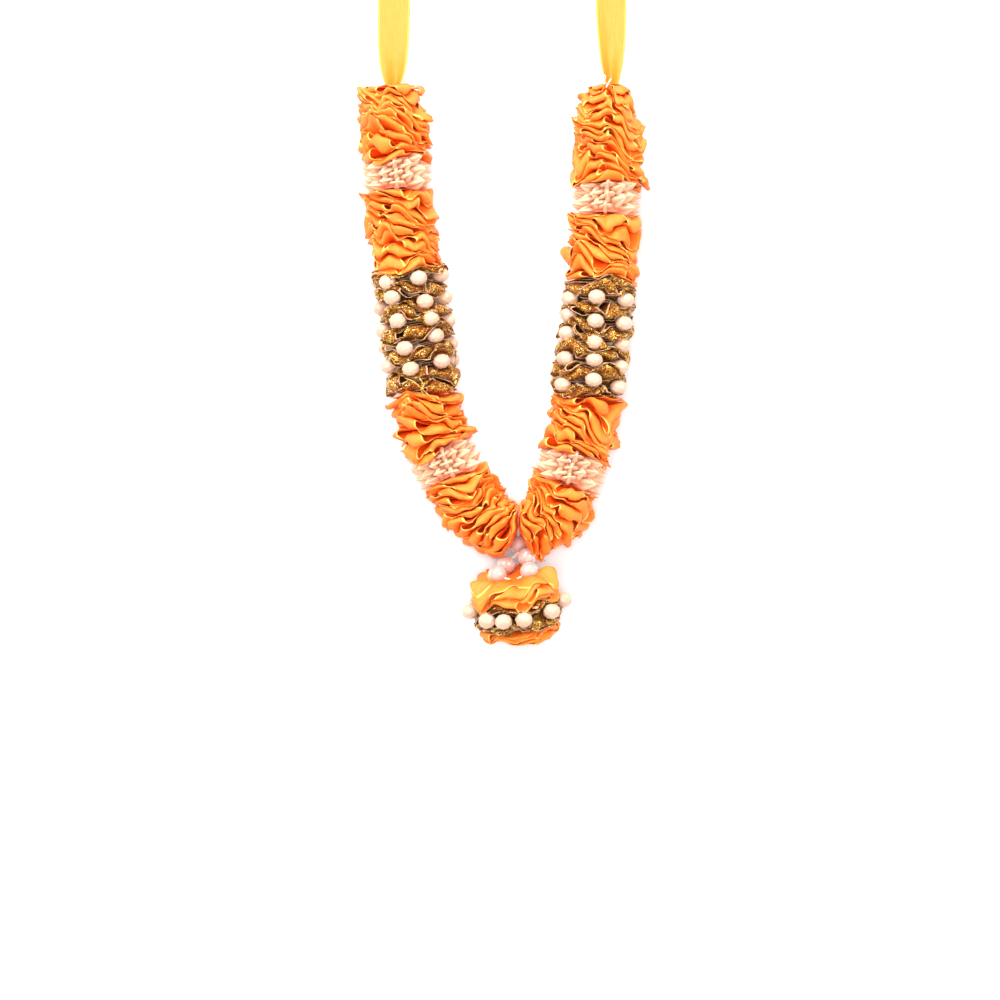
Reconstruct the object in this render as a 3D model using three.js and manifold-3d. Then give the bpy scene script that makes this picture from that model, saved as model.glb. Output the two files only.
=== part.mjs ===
// A garland of folded satin ribbon, laid flat on its back: two strands that meet in a V, a pendant that hangs
// on pearls, and two ribbon ties.
// X is to the right of the wearer's view, Y runs up the garland, Z is up from the surface. Millimetres.
import * as THREE from "three";
import { mergeVertices } from "three/addons/utils/BufferGeometryUtils.js";
import Module from "manifold-3d";

const wasm = await Module();
wasm.setup();

// Driving dimensions
const GAP = 0.3;
const THREAD_RADIUS = 0.6;
const RIBBON_THICKNESS = 0.76;
const SATIN_WIDTH = 25;
const ZARI_WIDTH = 24;
const LAYER_PITCH = 4.1;
const ZARI_PITCH = 3.2;
const SATIN_HOLE = 1.2;
const ZARI_HOLE = 2.35;
const PENDANT_RIBBON_WIDTH = 31;
const PENDANT_ZARI_WIDTH = 27;
const LAYER_TURN = THREE.MathUtils.degToRad(28);
const PENDANT_TURN = THREE.MathUtils.degToRad(47);
const BEAD_HALF = { across: 4.3, along: 3.6, out: 4.1 };
const BEAD_RING_RADIUS = 15.4;
const BEADS_PER_RING = 6;
const BEAD_RINGS = 5;
const PENDANT_BEAD_RING_RADIUS = 22.4;
const CROSS_THREAD_RADIUS = 0.6;
const CROSS_THREAD_ROOT = 0.9;
const SLEEVE_RADIUS = 1.8;
const SLEEVE_BORE = 1.2;
const PEARL_RADIUS = 4.4;
const BUD_COLUMNS = 14;
const BUD_ROWS = 5;
const BUD_ROW_PITCH = 2.6;
const BUD_CORE_RADIUS = 4.4;
const BUD_TIP_RADIUS = 16.2;
const TIE_WIDTH = 15.5;
const TIE_GATHERED_WIDTH = 5.8;
const TIE_LENGTH = 150;

// The middle line of the strands, from the top of the left one through the V to the top of the right one
const STRAND_LINE = [
  [-51.4, 103.7, 17.4],
  [-50.4, 81.6, 17.5],
  [-49.3, 57.6, 17.6],
  [-46.6, 33.6, 17.8],
  [-43.2, 9.6, 18.3],
  [-39.8, -18.2, 18.4],
  [-35.6, -48.0, 18.2],
  [-30.6, -67.2, 17.8],
  [-23.8, -82.0, 17.6],
  [-15.4, -95.0, 17.5],
  [-4.4, -104.8, 17.5],
  [9.8, -109.0, 17.5],
  [22.4, -102.6, 17.5],
  [30.2, -91.4, 17.6],
  [34.6, -79.7, 17.7],
  [38.4, -66.0, 18.0],
  [41.5, -48.0, 18.7],
  [45.1, -19.2, 19.1],
  [48.2, 7.2, 19.1],
  [50.2, 33.6, 18.4],
  [51.6, 57.6, 17.8],
  [52.8, 81.6, 17.6],
  [53.8, 103.7, 17.4],
].map(([x, y, z]) => new THREE.Vector3(x, y, z));

// How far each strand's sections run down from its top end; the last ruffle runs on to the bottom of the V
const SECTIONS = {
  left: [
    { name: "orange_1", kind: "satin", length: 36 },
    { name: "white_1", kind: "buds", length: 15 },
    { name: "orange_2", kind: "satin", length: 37.5 },
    { name: "gold", kind: "zari", length: 62 },
    { name: "orange_3", kind: "satin", length: 26.5 },
    { name: "white_2", kind: "buds", length: 15 },
    { name: "orange_4", kind: "satin" },
  ],
  right: [
    { name: "orange_1", kind: "satin", length: 48 },
    { name: "white_1", kind: "buds", length: 15 },
    { name: "orange_2", kind: "satin", length: 29.5 },
    { name: "gold", kind: "zari", length: 58.5 },
    { name: "orange_3", kind: "satin", length: 27.5 },
    { name: "white_2", kind: "buds", length: 15 },
    { name: "orange_4", kind: "satin" },
  ],
};
// Bead rings lie between two layers of the gold ruffle: the first one's place in it, their spacing, and how
// they turn in degrees
const BEAD_LAYOUT = {
  left: { first: 6.3, spacing: 10.3, azimuth: 17, step: 6.5 },
  right: { first: 11.5, spacing: 10.1, azimuth: -6, step: 3 },
};
// From a ring's middle to the layers beside it
const RING_CLEARANCE = BEAD_HALF.along + GAP + RIBBON_THICKNESS / 2;

// The pendant: its centre, the line from its bottom to its top, and its layers along that line
const PENDANT_CENTRE = new THREE.Vector3(8.2, -147.4, 24.1);
const PENDANT_AXIS = new THREE.Vector3(-0.133, 0.947, 0.292).normalize();
const PENDANT_LAYERS = {
  lower: { levels: [-10.9, -8.3], width: PENDANT_RIBBON_WIDTH, hole: SATIN_HOLE, start: 0.3 },
  gold: { levels: [-5.6, -3.1, 5.7, 7.5], width: PENDANT_ZARI_WIDTH, hole: ZARI_HOLE, start: 1.1 },
  upper: { levels: [9.5, 11.6], width: PENDANT_RIBBON_WIDTH, hole: SATIN_HOLE, start: 0.75 },
};
const PENDANT_BEADS_AT = 1.3;
const PENDANT_BEAD_AZIMUTHS = [-90, -42, -19, 6, 45, 85, 125, 162, 198, 236];
// The pearls: one at the head of the loop, then two on each leg
const PEARLS = {
  head: [9.0, -117.4, 15.8],
  right_upper: [12.9, -123.3, 21.6],
  right_lower: [14.0, -130.0, 27.0],
  left_upper: [2.9, -127.0, 19.0],
  left_lower: [-1.3, -131.6, 25.6],
};

// The box's centre in the coordinates above, which becomes the origin
const DATUM = new THREE.Vector3(0.671, 47.42, 0);

const COLOURS = {
  satin: { color: 0xff9a36, roughness: 0.38, metalness: 0 },
  yellow: { color: 0xfdd04c, roughness: 0.35, metalness: 0 },
  zari: { color: 0x8a5f24, roughness: 0.42, metalness: 0.6 },
  bud: { color: 0xfde0c8, roughness: 0.6, metalness: 0 },
  bead: { color: 0xfbe8dc, roughness: 0.3, metalness: 0 },
  pearl: { color: 0xf6cdb8, roughness: 0.18, metalness: 0 },
  thread: { color: 0xf3eadf, roughness: 0.8, metalness: 0 },
};

const UP = new THREE.Vector3(0, 0, 1);
const strandLine = new THREE.CatmullRomCurve3(STRAND_LINE, false, "centripetal");
strandLine.arcLengthDivisions = 1200;
const lineLength = strandLine.getLength();
// The bottom of the V, as a distance along the line from the left strand's top
const BOTTOM_OF_V = lineLength * 0.5 + bottomOffset();

// How far past the line's middle its lowest point lies
function bottomOffset() {
  let lowest = 0;
  let at = 0.5;
  for (let u = 0.4; u < 0.6; u += 0.0005) {
    const y = strandLine.getPointAt(u).y;
    if (y < lowest) {
      lowest = y;
      at = u;
    }
  }
  return (at - 0.5) * lineLength;
}

// A strand's own frame at a distance from its top end: its centre, and the directions along, up and sideways
function strandFrame(side, distance) {
  const forward = side === "left" ? 1 : -1;
  const along = side === "left" ? distance : lineLength - distance;
  const u = THREE.MathUtils.clamp(along / lineLength, 0, 1);
  const tangent = strandLine.getTangentAt(u).multiplyScalar(forward);
  const up = UP.clone().addScaledVector(tangent, -tangent.dot(UP)).normalize();
  return { centre: strandLine.getPointAt(u), along: tangent, up, side: up.clone().cross(tangent) };
}

const strandLength = { left: BOTTOM_OF_V, right: lineLength - BOTTOM_OF_V };

// The slow wave that lifts and lowers the rims of the layers, the same for all that is strung on a strand
const WAVE = {
  left: { height: 2, twist: 0.14, phase: [0.4, 2.1] },
  right: { height: 2, twist: 0.14, phase: [3.3, 0.9] },
};
const WAVE_RADIUS = 17.5;
const STILL_END = 26;
function wave(side, x, y, distance) {
  const { height, twist, phase } = WAVE[side];
  const reach = Math.min(1.1, Math.hypot(x, y) / WAVE_RADIUS) ** 2;
  const angle = Math.atan2(x, y);
  const calm = THREE.MathUtils.smoothstep(strandLength[side] - distance, 2, STILL_END);
  const shape = Math.cos(2 * angle - twist * distance + phase[0])
    + 0.6 * Math.cos(3 * angle + twist * distance + phase[1]);
  return height * reach * calm * shape;
}

// The inside of the bend is squeezed, so that the layers fan out round the V as the real ones do
const BEND_STARTS = 30;
const BEND_SQUEEZE = 0.36;
const inwards = { left: 1, right: -1 };
function squeezed(side, x, distance) {
  if (x * inwards[side] <= 0) return x;
  const near = 1 - THREE.MathUtils.smoothstep(strandLength[side] - distance, 0, BEND_STARTS);
  return x * (1 - BEND_SQUEEZE * near * Math.min(1, Math.abs(x) / WAVE_RADIUS));
}
// On the outside of the bend the two strands part, which leaves the notch that the pearls hang from
const NOTCH = 0.2;
function notched(side, x, distance) {
  const outside = Math.max(0, -x * inwards[side]);
  const near = 1 - THREE.MathUtils.smoothstep(strandLength[side] - distance, 0, BEND_STARTS);
  return distance - NOTCH * outside * near;
}

// A point of a strand: x sideways, y up, at a distance from the strand's top end
function onStrand(side, x, y, distance) {
  const inner = squeezed(side, x, distance);
  const moved = notched(side, x, distance) + wave(side, x, y, distance);
  const frame = strandFrame(side, moved);
  return frame.centre.addScaledVector(frame.side, inner).addScaledVector(frame.up, y);
}

// A point of the pendant in the same manner, with the distance along its axis
const pendantUp = UP.clone().addScaledVector(PENDANT_AXIS, -PENDANT_AXIS.dot(UP)).normalize();
const pendantSide = PENDANT_AXIS.clone().cross(pendantUp);
function onPendant(x, y, distance) {
  return PENDANT_CENTRE.clone()
    .addScaledVector(pendantSide, x)
    .addScaledVector(pendantUp, y)
    .addScaledVector(PENDANT_AXIS, distance);
}

// Closed mesh of a geometry as a solid
function solid(geometry) {
  const plain = geometry.clone();
  plain.deleteAttribute("normal");
  plain.deleteAttribute("uv");
  const merged = mergeVertices(plain, 1e-4);
  return new wasm.Manifold(
    new wasm.Mesh({
      numProp: 3,
      vertProperties: new Float32Array(merged.attributes.position.array),
      triVerts: new Uint32Array(merged.index.array),
    }),
  );
}

// The largest body of a solid, because a cut can leave a loose scrap
function largestBody(whole) {
  return whole.decompose().sort((a, b) => b.volume() - a.volume())[0];
}

function geometryOf(body) {
  const mesh = body.getMesh();
  const geometry = new THREE.BufferGeometry();
  const positions = new Float32Array(mesh.numVert * 3);
  for (let i = 0; i < mesh.numVert; i++) {
    for (let k = 0; k < 3; k++) positions[i * 3 + k] = mesh.vertProperties[i * mesh.numProp + k];
  }
  geometry.setAttribute("position", new THREE.BufferAttribute(positions, 3));
  geometry.setIndex(new THREE.BufferAttribute(new Uint32Array(mesh.triVerts), 1));
  return geometry;
}

// Points and triangles as a solid, with the faces turned outwards
function meshSolid(points, index) {
  const geometry = new THREE.BufferGeometry().setFromPoints(points).setIndex(index);
  const body = solid(geometry);
  if (body.volume() > 0) return body;
  const reversed = [];
  for (let i = 0; i < index.length; i += 3) reversed.push(index[i], index[i + 2], index[i + 1]);
  return solid(geometry.setIndex(reversed));
}

// A sheet given as rows of points, thickened to a closed solid whose two faces are split alike, less its
// open cells
function sheetSolid(rows, thickness, isOpen = () => false) {
  const across = rows[0].length;
  const points = [];
  const inRange = (value, count) => THREE.MathUtils.clamp(value, 0, count - 1);
  const at = (i, j) => rows[inRange(i, rows.length)][inRange(j, across)];
  for (const face of [1, -1]) {
    for (let i = 0; i < rows.length; i++) {
      for (let j = 0; j < across; j++) {
        const lengthways = at(i + 1, j).clone().sub(at(i - 1, j));
        const crossways = at(i, j + 1).clone().sub(at(i, j - 1));
        const normal = crossways.cross(lengthways).normalize();
        points.push(rows[i][j].clone().addScaledVector(normal, (face * thickness) / 2));
      }
    }
  }
  const back = rows.length * across;
  const index = [];
  const quad = (a, b, c, d) => index.push(a, b, c, a, c, d);
  const wall = (a, b) => quad(a, b, back + b, back + a);
  for (let i = 0; i < rows.length - 1; i++) {
    for (let j = 0; j < across - 1; j++) {
      const corner = i * across + j;
      const [a, b, c, d] = [corner, corner + 1, corner + across + 1, corner + across];
      if (isOpen(i, j)) {
        for (const [p, q] of [[a, b], [b, c], [c, d], [d, a]]) wall(p, q);
      } else {
        quad(a, b, c, d);
        index.push(back + a, back + c, back + b, back + a, back + d, back + c);
      }
    }
    const left = i * across;
    const right = left + across - 1;
    wall(left, left + across);
    wall(right + across, right);
  }
  const lastRow = (rows.length - 1) * across;
  for (let j = 0; j < across - 1; j++) {
    wall(j + 1, j);
    wall(lastRow + j, lastRow + j + 1);
  }
  return meshSolid(points, index);
}

// A tube with flat sides along a line of points
function tube(points, radius, sides, steps) {
  const outline = new THREE.Shape();
  for (let i = 0; i < sides; i++) {
    const angle = (i / sides) * 2 * Math.PI;
    const corner = [radius * Math.cos(angle), radius * Math.sin(angle)];
    if (i === 0) outline.moveTo(...corner);
    else outline.lineTo(...corner);
  }
  outline.closePath();
  const line = new THREE.CatmullRomCurve3(points, false, "centripetal");
  return solid(new THREE.ExtrudeGeometry(outline, { steps, bevelEnabled: false, extrudePath: line }));
}

// The two edges of a fold: the share of the layer's turn by then, and how far the ribbon has left its layer
const FOLD_TURNED = [0.4, 0.6];
const FOLD_RISE = 0.25;
const FOLD_LIP = 0.9;
const FREE_END = { turned: 0.3, away: 0.5, reach: 0.97 };

// A ribbon folded to and fro in squares, each layer turned a little from the one before it and pierced in its
// middle
function foldedRibbon({ place, levels, width, hole, start, turn }) {
  const half = width / 2;
  const rows = [];
  const row = (turned, run, distance) => {
    const angle = start + turned * turn;
    const [sin, cos] = [Math.sin(angle), Math.cos(angle)];
    const columns = [-half, -hole, hole, half];
    rows.push(columns.map((t) => place(sin * run + cos * t, cos * run - sin * t, distance)));
  };
  const last = levels.length - 1;
  row(-FREE_END.turned, -FREE_END.reach * half, levels[0] - FREE_END.away);
  levels.forEach((level, layer) => {
    const way = layer % 2 ? -1 : 1;
    row(layer, -way * hole, level);
    row(layer, way * hole, level);
    if (layer === last) return;
    const lip = Math.min(FOLD_LIP, FOLD_RISE * (levels[layer + 1] - level));
    row(layer + FOLD_TURNED[0], way * half, level + lip);
    row(layer + FOLD_TURNED[1], way * half, levels[layer + 1] - lip);
  });
  row(last + FREE_END.turned, (last % 2 ? -1 : 1) * FREE_END.reach * half, levels[last] + FREE_END.away);
  const rowsPerLayer = 2 + FOLD_TURNED.length;
  return sheetSolid(rows, RIBBON_THICKNESS, (i, j) => j === 1 && i % rowsPerLayer === 1);
}

// A point of a strand's middle line
function onStrandLine(side, distance) {
  return strandFrame(side, distance).centre;
}

// The stringing thread, or with spare room round it the hole that it needs
const THREAD_SIDES = 4;
const THREAD_STEPS = 96;
const LOOP_HEAD = onStrandLine("left", strandLength.left);
LOOP_HEAD.y += 1.5;
const pearlPoint = (name) => new THREE.Vector3(...PEARLS[name]);
const KNOT_RADIUS = 2;
const knotPlace = onPendant(0, 0, -13.8);
const legsPart = pearlPoint("head").lerp(pearlPoint("left_upper").lerp(pearlPoint("right_upper"), 0.5), 0.55);
const legsMeet = onPendant(0, 0, 13.4);
function threads(spare) {
  const radius = THREAD_RADIUS + spare;
  const main = tube(strandLine.getSpacedPoints(THREAD_STEPS), radius, THREAD_SIDES, THREAD_STEPS);
  const head = tube([LOOP_HEAD.clone(), pearlPoint("head"), legsPart.clone()], radius, THREAD_SIDES, 4);
  const foot = tube([legsMeet.clone(), knotPlace.clone()], radius, THREAD_SIDES, 1);
  const legs = ["left", "right"].map((leg) => {
    const upper = pearlPoint(`${leg}_upper`);
    const lower = pearlPoint(`${leg}_lower`);
    return tube([legsPart.clone(), upper, lower, legsMeet.clone()], radius, THREAD_SIDES, 10);
  });
  return main.add(head).add(foot).add(legs[0]).add(legs[1]);
}
function threadAndKnots() {
  const knot = new THREE.IcosahedronGeometry(KNOT_RADIUS, 1);
  knot.translate(...knotPlace.toArray());
  return threads(0).add(solid(knot));
}
const threadHole = threads(GAP + 0.05);

// All that lies under the surface, which presses the rims that touch it flat
const UNDER = { width: 400, length: 600, depth: 20 };
const floorBox = new THREE.BoxGeometry(UNDER.width, UNDER.length, UNDER.depth);
floorBox.translate(0, 0, -UNDER.depth / 2);
const underSurface = solid(floorBox);

// Satin ruffles have even layers; a zari ruffle's layers lie in pairs between the bead rings
function satinLevels(from, length) {
  const layers = Math.floor(length / LAYER_PITCH + 0.1);
  const start = from + (length - (layers - 1) * LAYER_PITCH) / 2;
  return Array.from({ length: layers }, (_, layer) => start + layer * LAYER_PITCH);
}
function ringPlaces(side, from) {
  const { first, spacing } = BEAD_LAYOUT[side];
  return Array.from({ length: BEAD_RINGS }, (_, ring) => from + first + ring * spacing);
}
function zariLevels(side, from, length) {
  const rings = ringPlaces(side, from);
  const levels = rings.flatMap((ring) => [ring - RING_CLEARANCE, ring + RING_CLEARANCE]);
  while (levels[0] - ZARI_PITCH > from) levels.unshift(levels[0] - ZARI_PITCH);
  while (levels.at(-1) + ZARI_PITCH < from + length) levels.push(levels.at(-1) + ZARI_PITCH);
  return levels;
}

// A bead's corners and triangles round its own centre, with x across, y along and z out, and the three
// corners of the side that faces its thread
const FACING_TURN = (225 * Math.PI) / 180;
function beadShape() {
  const whole = new THREE.IcosahedronGeometry(1, 0);
  whole.deleteAttribute("normal");
  whole.deleteAttribute("uv");
  const merged = mergeVertices(whole);
  const { position } = merged.attributes;
  const corners = [];
  for (let i = 0; i < position.count; i++) corners.push(new THREE.Vector3().fromBufferAttribute(position, i));
  const triangles = [];
  for (let i = 0; i < merged.index.count; i += 3) triangles.push([...merged.index.array.slice(i, i + 3)]);
  const facing = triangles.shift();
  const middle = new THREE.Vector3();
  for (const corner of facing) middle.add(corners[corner]);
  const towardsThread = new THREE.Quaternion().setFromUnitVectors(middle.normalize(), UP.clone().negate());
  for (const corner of corners) corner.applyQuaternion(towardsThread);
  const { x, y } = corners[facing[0]];
  for (const corner of corners) corner.applyAxisAngle(UP, FACING_TURN - Math.atan2(y, x));
  return { corners, triangles, facing };
}
const BEAD = beadShape();

// A direction that stands out from a frame at an angle, and the one at right angles to it
function outwards({ side, up }, angle) {
  return side.clone().multiplyScalar(Math.sin(angle)).addScaledVector(up, Math.cos(angle));
}
const crosswise = (frame, angle) => outwards(frame, angle + Math.PI / 2);

// Beads on cross threads that stand out from a sleeve, each raised from one side of it; with spare room it is
// the cutter that clears them
function beadSet({ frameAt, place, radius, rings, ends, spare = 0 }) {
  const points = [];
  const index = [];
  const put = (point) => points.push(point) - 1;
  const quad = (a, b, c, d) => index.push(a, b, c, a, c, d);
  const band = (low, high) => low.forEach((_, i) => {
    const next = (i + 1) % low.length;
    quad(low[i], low[next], high[next], high[i]);
  });
  const sleeveRow = (azimuths, distance, sleeve) => azimuths.map((azimuth, i) => {
    const following = azimuths[i + 1] ?? azimuths[0] + 360;
    const angle = THREE.MathUtils.degToRad((azimuth + following) / 2);
    const frame = frameAt(distance);
    return put(frame.centre.clone().addScaledVector(outwards(frame, angle), sleeve));
  });
  const beadOn = (azimuth, distance, root) => {
    const angle = THREE.MathUtils.degToRad(azimuth);
    const frame = frameAt(distance);
    const out = outwards(frame, angle);
    const across = crosswise(frame, angle);
    const centre = place(Math.sin(angle) * radius, Math.cos(angle) * radius, distance);
    const at = (x, y, z) => put(
      centre.clone().addScaledVector(across, x).addScaledVector(frame.along, y).addScaledVector(out, z),
    );
    const corners = BEAD.corners.map(({ x, y, z }) => at(
      x * (BEAD_HALF.across + spare),
      y * (BEAD_HALF.along + spare),
      z * (BEAD_HALF.out + spare),
    ));
    const [a, d, b] = BEAD.facing;
    const bead = [a, b, d].map((corner) => corners[corner]);
    const threadEnd = [a, b, d].map((corner) => {
      const { x, y, z } = BEAD.corners[corner];
      const size = (CROSS_THREAD_RADIUS + 2 * spare) / Math.hypot(x, y);
      return at(x * size, y * size, z * (BEAD_HALF.out + spare));
    });
    band(root, threadEnd);
    band(threadEnd, bead);
    for (const triangle of BEAD.triangles) index.push(...triangle.map((corner) => corners[corner]));
  };
  const half = CROSS_THREAD_ROOT + spare;
  const sleeve = SLEEVE_RADIUS + spare;
  let below = sleeveRow(rings[0].azimuths, ends[0] - spare, sleeve);
  const first = below;
  for (const { distance, azimuths } of rings) {
    const low = sleeveRow(azimuths, distance - half, sleeve);
    const high = sleeveRow(azimuths, distance + half, sleeve);
    band(below, low);
    azimuths.forEach((azimuth, i) => {
      const before = (i + azimuths.length - 1) % azimuths.length;
      index.push(low[i], high[i], high[before]);
      beadOn(azimuth, distance, [low[before], low[i], high[before]]);
    });
    below = high;
  }
  const { azimuths } = rings.at(-1);
  const last = sleeveRow(azimuths, ends[1] + spare, sleeve);
  band(below, last);
  if (spare > 0) {
    for (let i = 1; i < first.length - 1; i++) {
      index.push(first[0], first[i + 1], first[i]);
      index.push(last[0], last[i], last[i + 1]);
    }
    return meshSolid(points, index);
  }
  const firstEnd = { distance: ends[0], azimuths: rings[0].azimuths };
  const lastEnd = { distance: ends[1], azimuths };
  const bore = [firstEnd, ...rings, lastEnd];
  const inside = bore.map((ring) => sleeveRow(ring.azimuths, ring.distance, SLEEVE_BORE));
  for (let i = 1; i < inside.length; i++) band(inside[i], inside[i - 1]);
  band(inside[0], first);
  band(last, inside.at(-1));
  return meshSolid(points, index);
}

// The rings on a strand's gold ruffle, and the room that the ruffle leaves round them
const BEAD_ROOM = 0.4;
const SLEEVE_PAST_RING = 4;
function strandBeads(side, from, spare) {
  const { azimuth, step } = BEAD_LAYOUT[side];
  const places = ringPlaces(side, from);
  const beads = [...Array(BEADS_PER_RING).keys()];
  const rings = places.map((distance, ring) => ({
    distance,
    azimuths: beads.map((bead) => azimuth + ring * step + (bead * 360) / BEADS_PER_RING),
  }));
  return beadSet({
    frameAt: (distance) => strandFrame(side, distance),
    place: (x, y, distance) => onStrand(side, x, y, distance),
    radius: BEAD_RING_RADIUS,
    rings,
    ends: [places[0] - SLEEVE_PAST_RING, places.at(-1) + SLEEVE_PAST_RING],
    spare,
  });
}

// Buds that stand out all round, raised from the diamond cells of a slim core: narrow at the root, widest
// near the end, with four ridges and a point
const BUD_BELLY_RADIUS = 13.2;
const BUD_HALF_WIDTH = { across: 2.75, along: 2.35, hollow: 1.35 };
function budBand(side, from, length) {
  const inRow = BUD_COLUMNS / 2;
  const firstRow = from + (length - BUD_ROW_PITCH * (BUD_ROWS - 1)) / 2;
  const points = [];
  const index = [];
  const quad = (a, b, c, d) => index.push(a, b, c, a, c, d);
  const put = (angle, radius, distance, sideways = 0) => {
    const [sin, cos] = [Math.sin(angle), Math.cos(angle)];
    points.push(onStrand(side, sin * radius + cos * sideways, cos * radius - sin * sideways, distance));
    return points.length - 1;
  };
  const stepAngle = Math.PI / inRow;
  const level = (q) => firstRow + q * BUD_ROW_PITCH;
  const cell = new Map();
  const cellCorner = (q, halfSteps) => {
    const key = `${q}:${(halfSteps + 4 * inRow) % (2 * inRow)}`;
    if (!cell.has(key)) cell.set(key, put(halfSteps * stepAngle, BUD_CORE_RADIUS, level(q)));
    return cell.get(key);
  };
  const columns = [...Array(inRow).keys()];
  const boreRow = (q) => columns.map((i) => put(2 * i * stepAngle, SLEEVE_BORE, level(q)));
  const boreLow = boreRow(-1);
  const boreHigh = boreRow(BUD_ROWS);
  for (let row = 0; row < BUD_ROWS; row++) {
    for (const i of columns) {
      const halfSteps = 2 * i + (row % 2);
      const angle = halfSteps * stepAngle;
      const root = [
        cellCorner(row - 1, halfSteps),
        cellCorner(row, halfSteps + 1),
        cellCorner(row + 1, halfSteps),
        cellCorner(row, halfSteps - 1),
      ];
      const belly = Array.from({ length: 8 }, (_, k) => {
        const way = (k * Math.PI) / 4;
        const { across, along, hollow } = BUD_HALF_WIDTH;
        const [sideways, lengthways] = k % 2 ? [hollow, hollow] : [across, along];
        const distance = level(row) - Math.cos(way) * lengthways;
        return put(angle, BUD_BELLY_RADIUS, distance, Math.sin(way) * sideways);
      });
      const tip = put(angle, BUD_TIP_RADIUS, level(row));
      for (let m = 0; m < 4; m++) {
        const [before, ridge, after] = [belly[(2 * m + 7) % 8], belly[2 * m], belly[2 * m + 1]];
        index.push(root[m], before, ridge, root[m], ridge, after, root[m], after, root[(m + 1) % 4]);
        index.push(before, tip, ridge, ridge, tip, after);
      }
      const next = (i + 1) % inRow;
      if (row === 0) {
        quad(boreLow[i], root[3], root[0], root[1]);
        index.push(root[1], boreLow[next], boreLow[i]);
        quad(boreLow[i], boreLow[next], boreHigh[next], boreHigh[i]);
      }
      if (row === BUD_ROWS - 1) {
        quad(boreHigh[i], root[1], root[2], root[3]);
        index.push(root[1], boreHigh[i], boreHigh[next]);
      }
    }
  }
  return meshSolid(points, index);
}

// The tie: gathered in lengthwise folds where it leaves the strand, then flat on the surface to a slanted end
const TIE_STARTS = 0.7;
const TIE_FOLDS = [0, 1, 0, 1, 0];
const TIE_ROWS = [0, 5, 11, 18, 28, 40, 56, 76, 98, 122, TIE_LENGTH];
const TIE_OPENS = [-6, 40];
const TIE_LANDS_AT = 62;
const TIE_DRIFT = { outwards: 9, from: 60, to: 190 };
const TIE_END_SLANT = 0.6;
function tie(side) {
  const top = strandFrame(side, 0).centre;
  const way = side === "left" ? -1 : 1;
  const foldWidth = TIE_WIDTH / (TIE_FOLDS.length - 1);
  const low = RIBBON_THICKNESS / 2;
  const rows = TIE_ROWS.map((distance) => {
    const open = THREE.MathUtils.smoothstep(distance, ...TIE_OPENS);
    const width = THREE.MathUtils.lerp(TIE_GATHERED_WIDTH, TIE_WIDTH, open);
    const deep = Math.sqrt(Math.max(0, foldWidth ** 2 - (width / (TIE_FOLDS.length - 1)) ** 2));
    const fall = THREE.MathUtils.smoothstep(distance, 0, TIE_LANDS_AT);
    const height = THREE.MathUtils.lerp(top.z - deep / 2, low, fall);
    const { from, to } = TIE_DRIFT;
    const middle = top.x + way * TIE_DRIFT.outwards * THREE.MathUtils.smoothstep(distance, from, to);
    return TIE_FOLDS.map((ridge, j) => {
      const across = (j / (TIE_FOLDS.length - 1) - 0.5) * width;
      const slant = distance === TIE_LENGTH ? -across * TIE_END_SLANT * way : 0;
      const onward = top.y + TIE_STARTS + distance + slant;
      return new THREE.Vector3(middle + across, onward, height + ridge * deep);
    });
  });
  return sheetSolid(rows, RIBBON_THICKNESS);
}

const group = new THREE.Group();
group.position.copy(DATUM).negate();
function add(name, body, finish) {
  const trimmed = largestBody(body);
  const mesh = new THREE.Mesh(geometryOf(trimmed), new THREE.MeshStandardMaterial(COLOURS[finish]));
  mesh.name = name;
  group.add(mesh);
}

// The strands; a ruffle's first layer is turned by its place, so that no two ruffles lie alike
const TURN_OF = { left: LAYER_TURN, right: LAYER_TURN };
const FIRST_TURN = { left: 0.2, right: 1.5 };
const TURN_PER_MM = 0.6;
for (const side of ["left", "right"]) {
  const place = (x, y, distance) => onStrand(side, x, y, distance);
  const turn = TURN_OF[side];
  let from = 0;
  for (const { name, kind, length = strandLength[side] - from } of SECTIONS[side]) {
    const node = `${side}_${name}`;
    const start = from * TURN_PER_MM + FIRST_TURN[side];
    if (kind === "buds") {
      add(node, budBand(side, from, length), "bud");
    } else if (kind === "satin") {
      const levels = satinLevels(from, length);
      const ribbon = foldedRibbon({ place, levels, width: SATIN_WIDTH, hole: SATIN_HOLE, start, turn });
      add(node, ribbon.subtract(underSurface), "satin");
    } else {
      const levels = zariLevels(side, from, length);
      const ribbon = foldedRibbon({ place, levels, width: ZARI_WIDTH, hole: ZARI_HOLE, start, turn });
      add(node, ribbon.subtract(strandBeads(side, from, BEAD_ROOM)).subtract(underSurface), "zari");
      add(`${side}_beads`, strandBeads(side, from, 0).subtract(underSurface), "bead");
    }
    from += length;
  }
  add(`${side}_tie`, tie(side), "yellow");
}

// The pendant
const PENDANT_SLEEVE = [-4.2, 6.6];
function pendantBeads(spare) {
  return beadSet({
    frameAt: (distance) => ({
      centre: onPendant(0, 0, distance),
      side: pendantSide,
      up: pendantUp,
      along: PENDANT_AXIS,
    }),
    place: onPendant,
    radius: PENDANT_BEAD_RING_RADIUS,
    rings: [{ distance: PENDANT_BEADS_AT, azimuths: PENDANT_BEAD_AZIMUTHS }],
    ends: PENDANT_SLEEVE,
    spare,
  });
}
for (const [name, layers] of Object.entries(PENDANT_LAYERS)) {
  let ribbon = foldedRibbon({ place: onPendant, turn: PENDANT_TURN, ...layers });
  if (name === "gold") ribbon = ribbon.subtract(pendantBeads(BEAD_ROOM));
  add(`pendant_${name}`, ribbon.subtract(underSurface), name === "gold" ? "zari" : "satin");
}
add("pendant_beads", pendantBeads(0).subtract(underSurface), "bead");

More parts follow.
